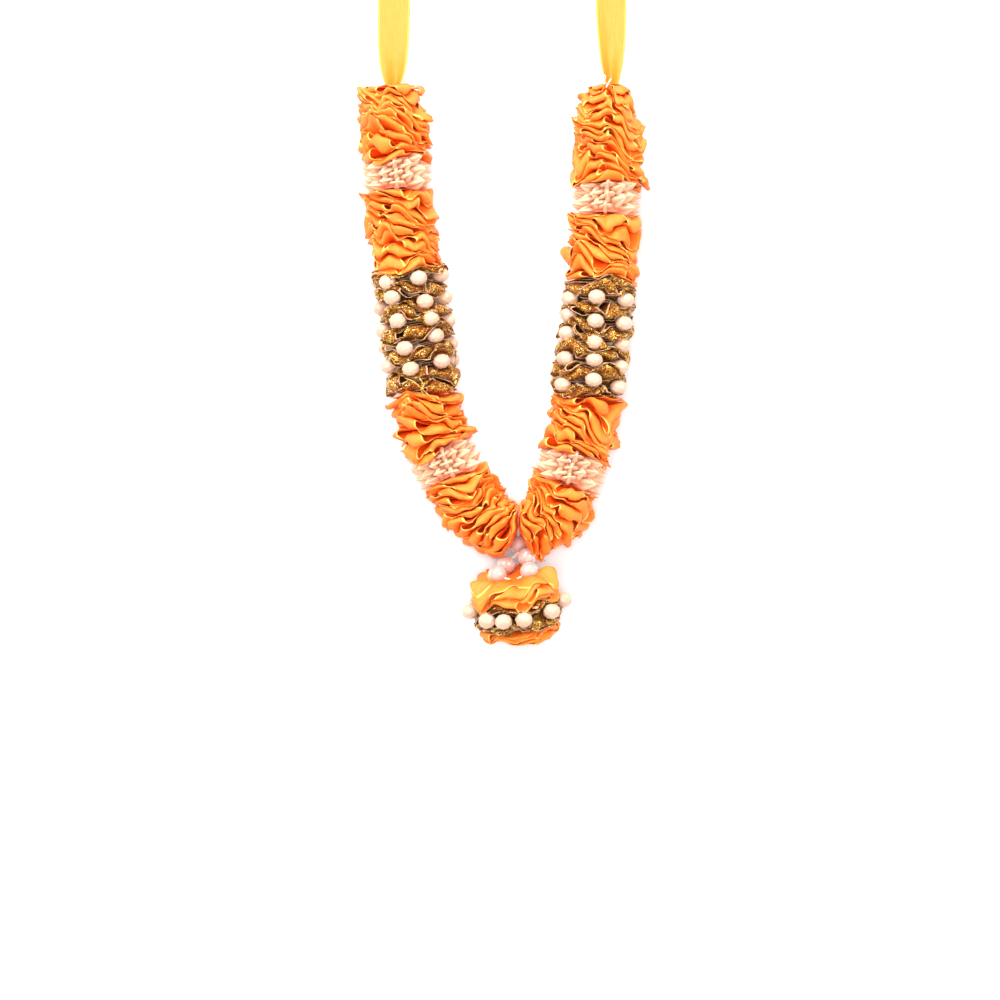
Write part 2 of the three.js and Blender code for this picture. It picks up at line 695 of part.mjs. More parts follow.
// The pearls and the thread
for (const name of Object.keys(PEARLS)) {
  const pearl = new THREE.IcosahedronGeometry(PEARL_RADIUS, 1);
  pearl.translate(...PEARLS[name]);
  add(`pearl_${name}`, solid(pearl).subtract(threadHole), "pearl");
}
add("stringing_thread", threadAndKnots(), "thread");

export default group;
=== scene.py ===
"""A garland of folded satin ribbon, laid flat: two strands in a V, a pendant on pearls and two ties."""

import bisect
import math
import random
from functools import partial

import bmesh
import bpy
from mathutils import Matrix, Vector, noise


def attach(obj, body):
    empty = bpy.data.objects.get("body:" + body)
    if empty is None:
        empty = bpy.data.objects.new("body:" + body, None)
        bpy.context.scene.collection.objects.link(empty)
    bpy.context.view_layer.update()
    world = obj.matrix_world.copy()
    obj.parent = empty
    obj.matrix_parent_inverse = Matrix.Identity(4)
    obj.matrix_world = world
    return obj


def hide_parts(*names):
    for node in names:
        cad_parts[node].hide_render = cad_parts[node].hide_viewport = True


bl_info = {
    "name": "Ribbon flower garland",
    "version": (1, 0, 0),
    "blender": (4, 5, 0),
    "location": "View3D > Sidebar > Garland",
    "description": "Builds a garland of folded satin ribbon with bud bands, beaded gold bands and a pendant",
    "category": "Add Mesh",
}

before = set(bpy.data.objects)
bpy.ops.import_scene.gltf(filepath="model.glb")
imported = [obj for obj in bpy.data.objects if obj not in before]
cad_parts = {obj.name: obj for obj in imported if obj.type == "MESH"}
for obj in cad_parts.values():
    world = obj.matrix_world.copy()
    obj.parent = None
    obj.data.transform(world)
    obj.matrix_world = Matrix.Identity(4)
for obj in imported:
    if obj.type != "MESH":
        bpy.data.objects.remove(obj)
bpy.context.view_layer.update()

# The garland's lengths are millimetres in the source's own coordinates. METRE and DATUM bring them into
# the frame. Shaders, lights and the floor are in metres.
METRE = 0.001
DATUM = Vector((0.671, 47.42, 0.0))
PIXEL = 0.48
PICTURE_PIXELS = 1000

SIDES = ("left", "right")
STRAND_LINE = [
    (-51.4, 103.7, 17.4), (-50.4, 81.6, 17.5), (-49.3, 57.6, 17.6), (-46.6, 33.6, 17.8),
    (-43.2, 9.6, 18.3), (-39.8, -18.2, 18.4), (-35.6, -48.0, 18.2), (-30.6, -67.2, 17.8),
    (-23.8, -82.0, 17.6), (-15.4, -95.0, 17.5), (-4.4, -104.8, 17.5), (9.8, -109.0, 17.5),
    (22.4, -102.6, 17.5), (30.2, -91.4, 17.6), (34.6, -79.7, 17.7), (38.4, -66.0, 18.0),
    (41.5, -48.0, 18.7), (45.1, -19.2, 19.1), (48.2, 7.2, 19.1), (50.2, 33.6, 18.4),
    (51.6, 57.6, 17.8), (52.8, 81.6, 17.6), (53.8, 103.7, 17.4),
]
# Name, kind and length of each section from the top. The last one takes the rest of its strand.
SECTIONS = {
    "left": [("orange_1", "satin", 36.0), ("white_1", "buds", 15.0), ("orange_2", "satin", 37.5),
             ("gold", "zari", 62.0), ("orange_3", "satin", 26.5), ("white_2", "buds", 15.0),
             ("orange_4", "satin", None)],
    "right": [("orange_1", "satin", 48.0), ("white_1", "buds", 15.0), ("orange_2", "satin", 29.5),
              ("gold", "zari", 58.5), ("orange_3", "satin", 27.5), ("white_2", "buds", 15.0),
              ("orange_4", "satin", None)],
}
BEAD_RINGS = {
    "left": {"first": 6.3, "spacing": 10.3, "azimuth": 17.0, "step": 6.5},
    "right": {"first": 11.5, "spacing": 10.1, "azimuth": -6.0, "step": 3.0},
}
RINGS = 5
BEADS_PER_RING = 6
BEAD_RING_RADIUS = 15.4
BEAD_HALF = Vector((4.3, 3.7, 4.1))
RING_ROOM = 0.7
BEAD_REACH = 5.05
BEAD_MARGIN = 0.4
HUMP_MARGIN = 0.3
HUMP_FADES = (0.5, 1.45)

WAVE_PHASE = {"left": (0.4, 2.1), "right": (3.3, 0.9)}
WAVE_HEIGHT = 2.0
WAVE_TWIST = 0.14
RUFFLE_RADIUS = 17.5
SPREAD_RADIUS = 16.0
STILL_END = 26.0
BEND_STARTS = 30.0
BEND_SQUEEZE = 0.36
NOTCH = 0.2

PENDANT_CENTRE = Vector((8.2, -147.4, 24.1))
PENDANT_AXIS = Vector((-0.133, 0.947, 0.292)).normalized()
PENDANT_UP = (Vector((0, 0, 1)) - PENDANT_AXIS * PENDANT_AXIS.z).normalized()
PENDANT_SIDE = PENDANT_AXIS.cross(PENDANT_UP)
# Each ring of beads: its distance along the axis, and the azimuths of its beads.
PENDANT_RINGS = [(1.3, (-90, -42, -19, 6, 45, 85, 125, 162, 198, 236))]
PENDANT_RING_RADIUS = 22.4
PENDANT_TURN = math.radians(47.0)
PENDANT_LOWER_BLOCK = (-12.6, -7.4, 16)
PENDANT_GOLD_BLOCKS = [(-6.6, 0.5, 9), (2.1, 8.8, 9)]
PENDANT_UPPER_BLOCK = (9.2, 14.4, 20)
PENDANT_UPPER_FLARE = (1.0, 2.0)
PETAL_REACH = 20
PETAL_HEIGHT = 6.4
PETAL_DROP = 3.9
PETAL_RIPPLE = 0.6
PETAL_SAG = 2.6
PETAL_ARCH = 2.2
ARCH_REACH = 9.5
ARCH_WIDTH = 4.5
PETAL_LEVEL = 5.0
PETAL_SPARE = 2.0
PETAL_ROOM = 0.9

PEARLS = {
    "pearl_head": (9.0, -117.4, 15.8),
    "pearl_right_upper": (12.9, -123.3, 21.6),
    "pearl_right_lower": (14.0, -130.0, 27.0),
    "pearl_left_upper": (2.9, -127.0, 19.0),
    "pearl_left_lower": (-1.3, -131.6, 25.6),
}
PEARL_RADIUS = 4.4
PEARL_HOLE = 0.14
PEARL_DIMPLE = 0.93
PEARL_WAYS = (PENDANT_SIDE, PENDANT_UP, PENDANT_AXIS)
PEARL_ROUNDS = [(Vector(centre), PEARL_WAYS, (PEARL_RADIUS,) * 3) for centre in PEARLS.values()]

# How the ribbons fold, puff and crease, and what differs from ruffle to ruffle.
RIBBON_THICKNESS = 0.15
FOLD_LEAST = 0.02
FOLD_OPENS = (0.12, 0.6)
FOLD_SKEW = 0.38
TONGUE = 2.2
LOBE_NOSE = 1.9
LOBE_MOST = 5.5
FLAT_PART = 0.62
MAP_PER_LAYER = 1.1
PUFF_SIZE = 1.1
PUFF_LENGTH = 6.6
PUFF_GAIN = 2.2
PUFF_HOLLOW = 0.45
PUFF_CALM = 10
FINE_CREASE = 2.7
FINE_DEPTH = 0.2
STILL_ROOM = 9
TAPER_FROM = -3
TAPER_TO = 21
TOP_TAPER = {"left_orange_1": 0.74, "right_orange_1": 0.56}
SATIN_FLARE = {
    "orange_1": (-1.8, 0.6), "orange_2": (-0.9, 2.2), "orange_3": (0.3, 0.6), "orange_4": (-0.9, -1.2),
}
SATIN_DROOP = {"orange_1": 0.8, "orange_2": 0.8, "orange_3": 0.8, "orange_4": 0.0}
ZARI_FLARE = (-3.2, -0.6)
FIRST_ANGLE = {"left": 0.2, "right": 1.5}
ANGLE_ALONG = 0.6
ROUND_ROOM = 0.35
ROUND_REACH = 6.0
SEEDS = {
    "left": {"satin": 0, "buds": 0, "zari": 40, "beads": 7, "tie": 71},
    "right": {"satin": 20, "buds": 9, "zari": 41, "beads": 8, "tie": 72},
}

BEAD_SIDES = 8
BEAD_ROWS = 6
COTTON_WIDTH = 0.6
GOLD_THREAD_WIDTH = 0.34

BUD_PITCH = 2.6
BUD_CORE = 9.5
BUD_ROOT = 3.0
BUD_TIP = 17.4
BUD_WAIST = 1.4
BUD_RIDGE = 3.9

TIE_LENGTH = 150.0
TIE_THICKNESS = 0.25
TIE_FALL = 62
TIE_DRIFT = 9
TIE_SLANT = 12
TIE_RESTS = 0.4
TIE_PLEATS = 2.0
TIE_SOFTNESS = 0.9
TIE_GATHERED = {"left": 6.0, "right": 5.0}
TIE_OPENS = {"left": 9.0, "right": 16.0}


def smooth(value, low, high):
    """Rises softly from 0 at low to 1 at high."""
    part = min(1.0, max(0.0, (value - low) / (high - low)))
    return part * part * (3.0 - 2.0 * part)


def mix(low, high, part):
    return low + (high - low) * part


def in_frame(point):
    """A point of the source's coordinates as a place in the frame, in metres."""
    return (point - DATUM) * METRE


# The line that everything is strung on

LINE_STEPS = 40


def sample_line():
    """Points along the smooth line through STRAND_LINE, and how far along it each lies."""
    points = [Vector(point) for point in STRAND_LINE]
    points = [2 * points[0] - points[1]] + points + [2 * points[-1] - points[-2]]
    samples = []
    for before, start, end, after in zip(points, points[1:], points[2:], points[3:]):
        first = (start - before).length ** 0.5
        middle = (end - start).length ** 0.5
        last = (after - end).length ** 0.5
        leave = ((start - before) / first - (end - before) / (first + middle)
                 + (end - start) / middle) * middle
        arrive = ((end - start) / middle - (after - start) / (middle + last)
                  + (after - end) / last) * middle
        square = 3 * (end - start) - 2 * leave - arrive
        cube = 2 * (start - end) + leave + arrive
        for step in range(LINE_STEPS):
            part = step / LINE_STEPS
            samples.append(start + leave * part + square * part ** 2 + cube * part ** 3)
    samples.append(points[-2])
    lengths = [0.0]
    for one, two in zip(samples, samples[1:]):
        lengths.append(lengths[-1] + (two - one).length)
    return samples, lengths


LINE, LINE_AT = sample_line()
LINE_LENGTH = LINE_AT[-1]
BOTTOM_OF_V = LINE_AT[min(range(len(LINE)), key=lambda i: LINE[i].y)]
STRAND_LENGTH = {"left": BOTTOM_OF_V, "right": LINE_LENGTH - BOTTOM_OF_V}
FRAME_STEP = 0.5
SPARE = 12.0
TANGENT_REACH = 0.6


def line_point(along):
    i = min(len(LINE) - 2, max(0, bisect.bisect_right(LINE_AT, along) - 1))
    return LINE[i].lerp(LINE[i + 1], (along - LINE_AT[i]) / (LINE_AT[i + 1] - LINE_AT[i]))


def strand_frames(side):
    """The strand's frames from SPARE before its top: centre, then the ways sideways, up and along."""
    frames = []
    for i in range(int((STRAND_LENGTH[side] + 2 * SPARE) / FRAME_STEP) + 2):
        distance = i * FRAME_STEP - SPARE
        at = distance if side == "left" else LINE_LENGTH - distance
        way = 1 if side == "left" else -1
        along = (line_point(at + TANGENT_REACH) - line_point(at - TANGENT_REACH)).normalized() * way
        up = (Vector((0, 0, 1)) - along * along.z).normalized()
        frames.append((line_point(at), up.cross(along), up, along))
    return frames


FRAMES = {side: strand_frames(side) for side in SIDES}


def strand_frame(side, distance):
    place = (distance + SPARE) / FRAME_STEP
    i = min(len(FRAMES[side]) - 2, max(0, int(place)))
    part = place - i
    return [one.lerp(two, part) for one, two in zip(FRAMES[side][i], FRAMES[side][i + 1])]


def wave(side, x, y, distance):
    """The slow wave of the rims along the strand."""
    reach = min(1.15, math.hypot(x, y) / RUFFLE_RADIUS) ** 2
    angle = math.atan2(x, y)
    calm = smooth(STRAND_LENGTH[side] - distance, 2, STILL_END)
    phase = WAVE_PHASE[side]
    shape = math.cos(2 * angle - WAVE_TWIST * distance + phase[0])
    shape += 0.6 * math.cos(3 * angle + WAVE_TWIST * distance + phase[1])
    return WAVE_HEIGHT * reach * calm * shape


def on_strand(side, x, y, distance):
    """A place on a strand: x sideways, y up, at a distance from its top end."""
    inwards = x if side == "left" else -x
    near = 1 - smooth(STRAND_LENGTH[side] - distance, 0, BEND_STARTS)
    squeezed = x
    if inwards > 0:
        squeezed = x * (1 - BEND_SQUEEZE * near * min(1.0, abs(x) / RUFFLE_RADIUS))
    moved = distance - NOTCH * max(0.0, -inwards) * near + wave(side, x, y, distance)
    centre, sideways, up, _ = strand_frame(side, moved)
    return centre + sideways * squeezed + up * y


def along_strand(side, *spots):
    """Places on a strand's rim: each spot is (sideways, out, distance from the top end)."""
    return [on_strand(side, x, math.sqrt(out * out - x * x), distance) for x, out, distance in spots]


def sections(kind):
    """The sections of one kind on both strands: side, place in the strand's list, name, start and length."""
    for side in SIDES:
        start = 0.0
        for number, (name, made_of, length) in enumerate(SECTIONS[side]):
            if length is None:
                length = STRAND_LENGTH[side] - start
            if made_of == kind:
                yield side, number, name, start, length
            start += length


def on_pendant(x, y, distance):
    return PENDANT_CENTRE + PENDANT_SIDE * x + PENDANT_UP * y + PENDANT_AXIS * distance


def petal_hang(x, y):
    """How far a petal of the uppermost ruffle stands above or hangs below its level."""
    reach = math.hypot(x, y)
    around = math.atan2(x, y)
    petals = (PETAL_HEIGHT * abs(math.cos(3 * around + 1.2)) - PETAL_DROP
              + PETAL_RIPPLE * math.cos(11 * around))
    return petals * min(1.2, reach / PETAL_REACH) ** 2 - PETAL_SAG * min(1.3, reach / PETAL_REACH) ** 3


def petal_stop(level):
    """Holds back, softly, what hangs below PETAL_LEVEL, so that it stays above the middle of the beads."""
    if level >= PETAL_LEVEL:
        return level
    return PETAL_LEVEL - PETAL_SPARE * (1 - math.exp((level - PETAL_LEVEL) / PETAL_SPARE))


def on_pendant_top(x, y, distance):
    """The uppermost ruffle, whose petals arch up beside the pearls and then hang over the gold."""
    across = (math.hypot(x, y) - ARCH_REACH) / ARCH_WIDTH
    arch = PETAL_ARCH * math.exp(-across ** 2) * smooth(y, -4, 8)
    return on_pendant(x, y, petal_stop(distance + arch + petal_hang(x, y)))


def on_pendant_gold(x, y, distance):
    """The gold ruffle, whose upper block is pressed down under the petals that hang over it."""
    low, high = PENDANT_GOLD_BLOCKS[1][:2]
    if distance > low:
        rim = min(1.0, math.hypot(x, y) / SPREAD_RADIUS)
        petal = petal_stop(PENDANT_UPPER_BLOCK[0] - PENDANT_UPPER_FLARE[0] * rim ** 2 + petal_hang(x, y))
        under = petal - PETAL_ROOM * rim
        distance = low + (distance - low) * min(1.0, max(0.05, (under - low) / (high - low)))
    return on_pendant(x, y, distance)


# Materials

def srgb(red, green, blue):
    """A colour read off a screen, 0 to 255, as Blender's linear colour."""
    def linear(value):
        value /= 255
        return value / 12.92 if value <= 0.04045 else ((value + 0.055) / 1.055) ** 2.4
    return (linear(red), linear(green), linear(blue), 1.0)


class Nodes:
    """Short ways to place and join the nodes of one tree."""

    def __init__(self, tree):
        self.tree = tree

    def add(self, kind, values=None, **settings):
        node = self.tree.nodes.new(kind)
        for name, value in settings.items():
            setattr(node, name, value)
        for socket, value in (values or {}).items():
            self.put(node.inputs[socket], value)
        return node

    def put(self, socket, value):
        if isinstance(value, bpy.types.NodeSocket):
            self.tree.links.new(value, socket)
        else:
            socket.default_value = value

    def surface(self, shader, colour, roughness, normal):
        """Joins what varies over a surface to its shader."""
        self.put(shader.inputs["Base Color"], colour)
        self.put(shader.inputs["Roughness"], roughness)
        self.put(shader.inputs["Normal"], normal)

    def shared(self, name, values=None):
        """The outputs of a node group that several materials share, made when it is first asked for."""
        tree = bpy.data.node_groups.get(name) or GROUP_MAKERS[name](name)
        return self.add("ShaderNodeGroup", values, node_tree=tree).outputs

    def map(self, name):
        return self.add("ShaderNodeUVMap", uv_map=name).outputs[0]

    def object_place(self):
        return self.add("ShaderNodeTexCoord").outputs["Object"]

    def parts(self, vector):
        return self.add("ShaderNodeSeparateXYZ", {0: vector}).outputs

    def stretch(self, vector, scale):
        return self.add("ShaderNodeMapping", {"Vector": vector, "Scale": scale}).outputs[0]

    def math(self, operation, one, two=0.0):
        return self.add("ShaderNodeMath", {0: one, 1: two}, operation=operation).outputs[0]

    def times(self, one, two):
        return self.math("MULTIPLY", one, two)

    def blend(self, part, one, two):
        return self.add("ShaderNodeMix", {0: part, 6: one, 7: two}, data_type="RGBA").outputs[2]

    def between(self, value, low, high, start=0.0, end=1.0):
        values = {"Value": value, "From Min": low, "From Max": high, "To Min": start, "To Max": end}
        return self.add("ShaderNodeMapRange", values, interpolation_type="SMOOTHSTEP").outputs[0]

    def noise(self, vector, scale, detail, rough):
        values = {"Vector": vector, "Scale": scale, "Detail": detail, "Roughness": rough}
        return self.add("ShaderNodeTexNoise", values).outputs["Fac"]

    def bump(self, height, strength, distance, normal=None):
        values = {"Height": height, "Strength": strength, "Distance": distance}
        if normal is not None:
            values["Normal"] = normal
        return self.add("ShaderNodeBump", values).outputs["Normal"]


def new_group(name, inputs, outputs):
    """An empty node group of plain values: inputs gives each one's default, outputs only the names."""
    tree = bpy.data.node_groups.new(name, "ShaderNodeTree")
    for label, default in inputs.items():
        socket = tree.interface.new_socket(name=label, in_out="INPUT", socket_type="NodeSocketFloat")
        socket.default_value = default
    for label in outputs:
        tree.interface.new_socket(name=label, in_out="OUTPUT", socket_type="NodeSocketFloat")
    nodes = Nodes(tree)
    return nodes, nodes.add("NodeGroupInput").outputs, nodes.add("NodeGroupOutput").inputs


def ribbon_cloth(name):
    """The weave, streaks, selvage and crumple of all the ribbons, on the map across and along them."""
    nodes, given, out = new_group(
        name, {"Threads": 90.0, "Selvage": 0.05}, ("Selvage", "Streaks", "Weave", "Crumple"))
    ribbon = nodes.map("ribbon")
    across = nodes.parts(ribbon)
    from_middle = nodes.math("ABSOLUTE", nodes.math("SUBTRACT", across["X"], 0.5))
    edge = nodes.math("SUBTRACT", 0.5, given["Selvage"])
    mask = nodes.between(from_middle, nodes.math("SUBTRACT", edge, 0.012), nodes.math("ADD", edge, 0.006))
    nodes.put(out["Selvage"], mask)
    nodes.put(out["Streaks"], nodes.noise(nodes.stretch(ribbon, (26.0, 1.6, 1.0)), 1.0, 4.0, 0.6))
    warp, weft = (nodes.math("SINE", nodes.times(nodes.times(across[way], given["Threads"]), math.tau))
                  for way in ("X", "Y"))
    nodes.put(out["Weave"], nodes.times(warp, weft))
    nodes.put(out["Crumple"], nodes.noise(ribbon, 5.0, 3.0, 0.55))
    return nodes.tree


def moulded_surface(name):
    """The slow clouding and fine pitting of beads, pearls, buds and loose gold thread."""
    nodes, given, out = new_group(name, {"Cloud size": 180.0, "Grain size": 1500.0}, ("Clouds", "Grain"))
    place = nodes.object_place()
    nodes.put(out["Clouds"], nodes.noise(place, given["Cloud size"], 3.0, 0.5))
    nodes.put(out["Grain"], nodes.noise(place, given["Grain size"], 2.0, 0.6))
    return nodes.tree


GROUP_MAKERS = {"ribbon_cloth": ribbon_cloth, "moulded_surface": moulded_surface}


def new_material(name, **plain):
    """A material with one Principled shader, whose plain values are given by their socket names."""
    material = bpy.data.materials.new(name)
    material.use_nodes = True
    shader = material.node_tree.nodes["Principled BSDF"]
    for label, value in plain.items():
        shader.inputs[label.replace("_", " ")].default_value = value
    return material, Nodes(material.node_tree), shader


def satin(name, colour, selvage, deep, painted_hollow_shade=None):
    """Woven satin: bright warp face, streaks along it, a paler selvage line at both edges and redder depths.
    The selvage line is partly a painted highlight along the rims.

    The depths are painted shade and painted bounced light, where the folds throw their own colour on each
    other.
    The ruffle's depth map gives them: deeper orange inside the rim, red near the thread, a fainter selvage
    line.
    """
    material, nodes, shader = new_material(
        name, Specular_IOR_Level=0.28, Subsurface_Weight=0.2, Subsurface_Scale=0.001,
        Subsurface_Radius=(1.0, 0.5, 0.25))
    cloth = nodes.shared("ribbon_cloth", {"Threads": 110.0, "Selvage": 0.05})
    face = nodes.blend(nodes.between(cloth["Streaks"], 0.3, 0.75), deep, colour)
    # The selvage line: a paler edge of the ribbon, and partly a painted highlight along the rims
    line = nodes.times(cloth["Selvage"], 0.9)
    if painted_hollow_shade:
        depth = nodes.parts(nodes.map("depth"))["X"]
        # Painted shade from the depth map: deeper orange inside the rim, then painted red bounced light near
        # the thread
        painted_shade_inside_rim = nodes.blend(nodes.between(depth, 0.98, 1.1), deep, face)
        face = nodes.blend(nodes.between(depth, 0.6, 1.02), painted_hollow_shade, painted_shade_inside_rim)
        # The selvage line, partly painted highlight, fades in the painted shade of the depths
        line = nodes.times(line, nodes.between(depth, 0.7, 0.95))
    rough = nodes.between(cloth["Streaks"], 0.2, 0.8, 0.34, 0.5)
    crumple = nodes.bump(cloth["Crumple"], 0.35, 0.0012)
    weave = nodes.bump(cloth["Weave"], 0.25, 0.00006, crumple)
    nodes.surface(shader, nodes.blend(line, face, selvage), rough, weave)
    return material


def zari(name, values):
    """Metal-thread ribbon: brown ground, gold threads with painted glints one by one, and a copper selvage.
    """
    material, nodes, shader = new_material(name, Specular_IOR_Level=0.5)
    cloth = nodes.shared("ribbon_cloth", {"Threads": 34.0, "Selvage": 0.03})
    place = nodes.object_place()
    cells = nodes.add("ShaderNodeTexVoronoi", {"Vector": place, "Scale": 1600.0})
    chance = nodes.add("ShaderNodeSeparateColor", {0: cells.outputs["Color"]}).outputs
    patches = nodes.noise(place, 300.0, 3.0, 0.6)
    luck = nodes.math("ADD", nodes.times(chance[0], 0.6), nodes.times(patches, 0.8))
    threads = nodes.between(cloth["Weave"], -0.6, 0.6)
    ground = nodes.blend(threads, values.zari_shadow, values.zari_ground)
    woven = nodes.blend(nodes.between(luck, 0.62, 0.78), ground, values.zari_gold)
    # Painted glints: random cells painted in the glint colour, with lower roughness
    glint = nodes.between(luck, 0.88, 0.93)
    with_painted_glints = nodes.blend(glint, woven, values.pale_gold_and_painted_glint)
    bare = nodes.math("SUBTRACT", 1.0, nodes.times(cloth["Selvage"], 0.8))
    nodes.put(shader.inputs["Metallic"], nodes.times(nodes.between(luck, 0.6, 0.8, 0.35, 0.85), bare))
    tilt = nodes.bump(chance[2], 0.5, 0.0003)
    nodes.surface(shader, nodes.blend(cloth["Selvage"], with_painted_glints, values.zari_selvage),
                  nodes.between(glint, 0.0, 1.0, 0.42, 0.2), nodes.bump(cloth["Weave"], 0.8, 0.00018, tilt))
    return material


def moulded(name, pale, shade, rough, cloud=180.0, **plain):
    """Moulded plastic, or loose gold thread: a soft clouding between two shades and a fine grain."""
    material, nodes, shader = new_material(name, **plain)
    skin = nodes.shared("moulded_surface", {"Cloud size": cloud})
    nodes.surface(shader, nodes.blend(nodes.between(skin["Clouds"], 0.35, 0.7), shade, pale),
                  nodes.between(skin["Grain"], 0.2, 0.8, rough, rough + 0.12),
                  nodes.bump(skin["Grain"], 0.12, 0.0001))
    return material


def folded_bud(name, values):
    """Folded buds, peach with painted shade at the root and paler with painted highlight at the ridges of the
    tip.
    """
    material, nodes, shader = new_material(
        name, Subsurface_Weight=0.6, Subsurface_Scale=0.003, Subsurface_Radius=(1.0, 0.5, 0.35),
        Sheen_Weight=0.1, Specular_IOR_Level=0.35)
    skin = nodes.shared("moulded_surface")
    bud = nodes.map("bud")
    streaks = nodes.between(nodes.noise(nodes.stretch(bud, (26.0, 1.5, 1.0)), 1.0, 3.0, 0.6), 0.35, 0.65)
    outer = nodes.between(nodes.parts(bud)["Y"], 0.3, 0.95)
    ends = nodes.times(outer, nodes.math("ADD", nodes.times(streaks, 0.5), 0.5))
    # Peach colour with painted shade at the root and painted highlight towards the tips
    tint_with_painted_light = nodes.blend(ends, values.bud_root_and_painted_shade, values.bud_tip_and_painted_highlight)
    cloudy = nodes.between(skin["Clouds"], 0.3, 0.8, 0.0, 0.35)
    nodes.surface(shader, nodes.blend(cloudy, tint_with_painted_light, values.bud_root_and_painted_shade),
                  nodes.between(skin["Grain"], 0.2, 0.8, 0.5, 0.62), nodes.bump(skin["Grain"], 0.2, 0.00012))
    return material


def cotton_thread(name, values):
    """Twisted cotton thread."""
    material, nodes, shader = new_material(name, Sheen_Weight=0.3, Specular_IOR_Level=0.2)
    wound = {"Vector": nodes.object_place(), "Scale": 900.0, "Distortion": 2.0}
    twist = nodes.add("ShaderNodeTexWave", wound, bands_direction="DIAGONAL").outputs["Fac"]
    nodes.surface(shader, nodes.blend(twist, values.thread_shade, values.thread_white),
                  nodes.between(twist, 0.0, 1.0, 0.85, 0.7), nodes.bump(twist, 0.6, 0.0002))
    return material


MAKERS = {
    "pleated_satin": lambda name, values: satin(
        name, values.orange, values.orange_selvage_and_highlight, values.orange_streaks_and_shade, values.orange_painted_hollow_shade),
    "tie_satin": lambda name, values: satin(name, values.yellow, values.yellow_selvage, values.yellow_deep),
    "woven_zari": zari,
    "folded_bud": folded_bud,
    "faceted_bead": lambda name, values: moulded(
        name, values.bead_pale, values.bead_shade, rough=0.34, Subsurface_Weight=0.12,
        Subsurface_Scale=0.001, Coat_Weight=0.15),
    "pearl_lacquer": lambda name, values: moulded(
        name, values.pearl_pale, values.pearl_shade, rough=0.2, cloud=240.0, Coat_Weight=1.0,
        Coat_Roughness=0.08, Coat_IOR=2.0, Sheen_Weight=0.35, Subsurface_Weight=0.1,
        Subsurface_Scale=0.002),
    "cotton_thread": cotton_thread,
    "gold_thread": lambda name, values: moulded(
        name, values.pale_gold_and_painted_glint, values.zari_gold, rough=0.3, cloud=900.0, Metallic=0.3),
}


def material_of(name, values):
    return bpy.data.materials.get(name) or MAKERS[name](name, values)


# Making pieces

def finish_piece(mesh_data, name, material, slot, values, flat_shaded=False):
    """Turns a bmesh into a named piece that rides on the garland."""
    mesh = bpy.data.meshes.new(name)
    for face in mesh_data.faces:
        face.smooth = not flat_shaded
    mesh_data.to_mesh(mesh)
    mesh_data.free()
    piece = bpy.data.objects.new(name, mesh)
    bpy.context.scene.collection.objects.link(piece)
    mesh.materials.append(material_of(material, values))
    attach(piece, "root")
    return piece


def set_map(mesh_data, name, spot_of):
    """Gives a mesh a named map, with the spot on it that spot_of says for each vertex."""
    layer = mesh_data.loops.layers.uv.new(name)
    for face in mesh_data.faces:
        for corner in face.loops:
            corner[layer].uv = spot_of(corner.vert)


def give_thickness(piece, thickness):
    solidify = piece.modifiers.new("thickness", "SOLIDIFY")
    solidify.thickness = thickness * METRE
    solidify.offset = 0.0
    solidify.use_even_offset = False


# Folded ribbons. A layer's number counts up along the strand; layer k joins layer k + 1 in fold k.

class Stack:
    """How a block of layers shares the room between two levels.

    Near the thread the layers are evenly spaced. Towards the rim the room goes to the folds: each one opens
    on its own side, where its two layers part, and lies close on the other side.
    """

    def __init__(self, low, high, flare, first, folds):
        self.low, self.high, self.flare, self.first = low, high, flare, first
        self.count = len(folds) + 1
        self.shares = []
        for degree in range(0, 360, 3):
            total = [0.0]
            for azimuth, strength in folds:
                off = math.radians(degree) - azimuth
                off = abs((off + math.pi) % math.tau - math.pi)
                total.append(total[-1] + FOLD_LEAST + strength * (1 - smooth(off, *FOLD_OPENS)))
            self.shares.append([part / (total[-1] or 1.0) for part in total])

    def level(self, layer, x, y):
        inner = layer - self.first
        degrees = math.degrees(math.atan2(x, y)) % 360 / 3
        i = int(degrees) % 120
        share = mix(self.shares[i][inner], self.shares[(i + 1) % 120][inner], degrees - int(degrees))
        rim = min(1.0, math.hypot(x, y) / SPREAD_RADIUS) ** 2
        low, high = self.low - self.flare[0] * rim, self.high + self.flare[1] * rim
        return low + (high - low) * mix(inner / (self.count - 1), share, rim)


def round_beads(along, x, y, beads):
    """Moves the level of a layer away from each bead that it would pass through."""
    for bead_x, bead_y, bead_at in beads:
        away = along - bead_at
        if abs(away) >= BEAD_REACH:
            continue
        distance = math.hypot(bead_x, bead_y)
        out = ((x * bead_x + y * bead_y) / distance - distance) / (BEAD_HALF.z + BEAD_MARGIN)
        across = (x * bead_y - y * bead_x) / distance / (BEAD_HALF.x + BEAD_MARGIN)
        hump = (BEAD_HALF.y + HUMP_MARGIN) * (1 - smooth(math.hypot(out, across), *HUMP_FADES))
        along = bead_at + math.copysign(hump + abs(away) * (BEAD_REACH - hump) / BEAD_REACH, away)
    return along


def clear_of_rounds(point, rounds):
    """Moves a ribbon's point aside where it would lie inside a bead or a pearl, and never over its face."""
    for centre, ways, half in rounds:
        away = point - centre
        if away.length_squared > ROUND_REACH ** 2:
            continue
        across, along, out = (away.dot(way) / (reach + ROUND_ROOM) for way, reach in zip(ways, half))
        aside = across ** 2 + along ** 2
        if aside + out ** 2 < 1.0:
            outward = ways[2] * away.dot(ways[2])
            point = centre + outward + (away - outward) * math.sqrt((1.0 - out ** 2) / max(aside, 0.01))
    return point


def on_layer(angle, way, out, side):
    """A place on a layer that lies at an angle: out along the ribbon, and to one side across it."""
    return (math.sin(angle) * way * out + math.cos(angle) * side,
            math.cos(angle) * way * out - math.sin(angle) * side)


CLOTHS = {"satin": ("pleated_satin", "orange_satin"), "zari": ("woven_zari", "gold_zari")}


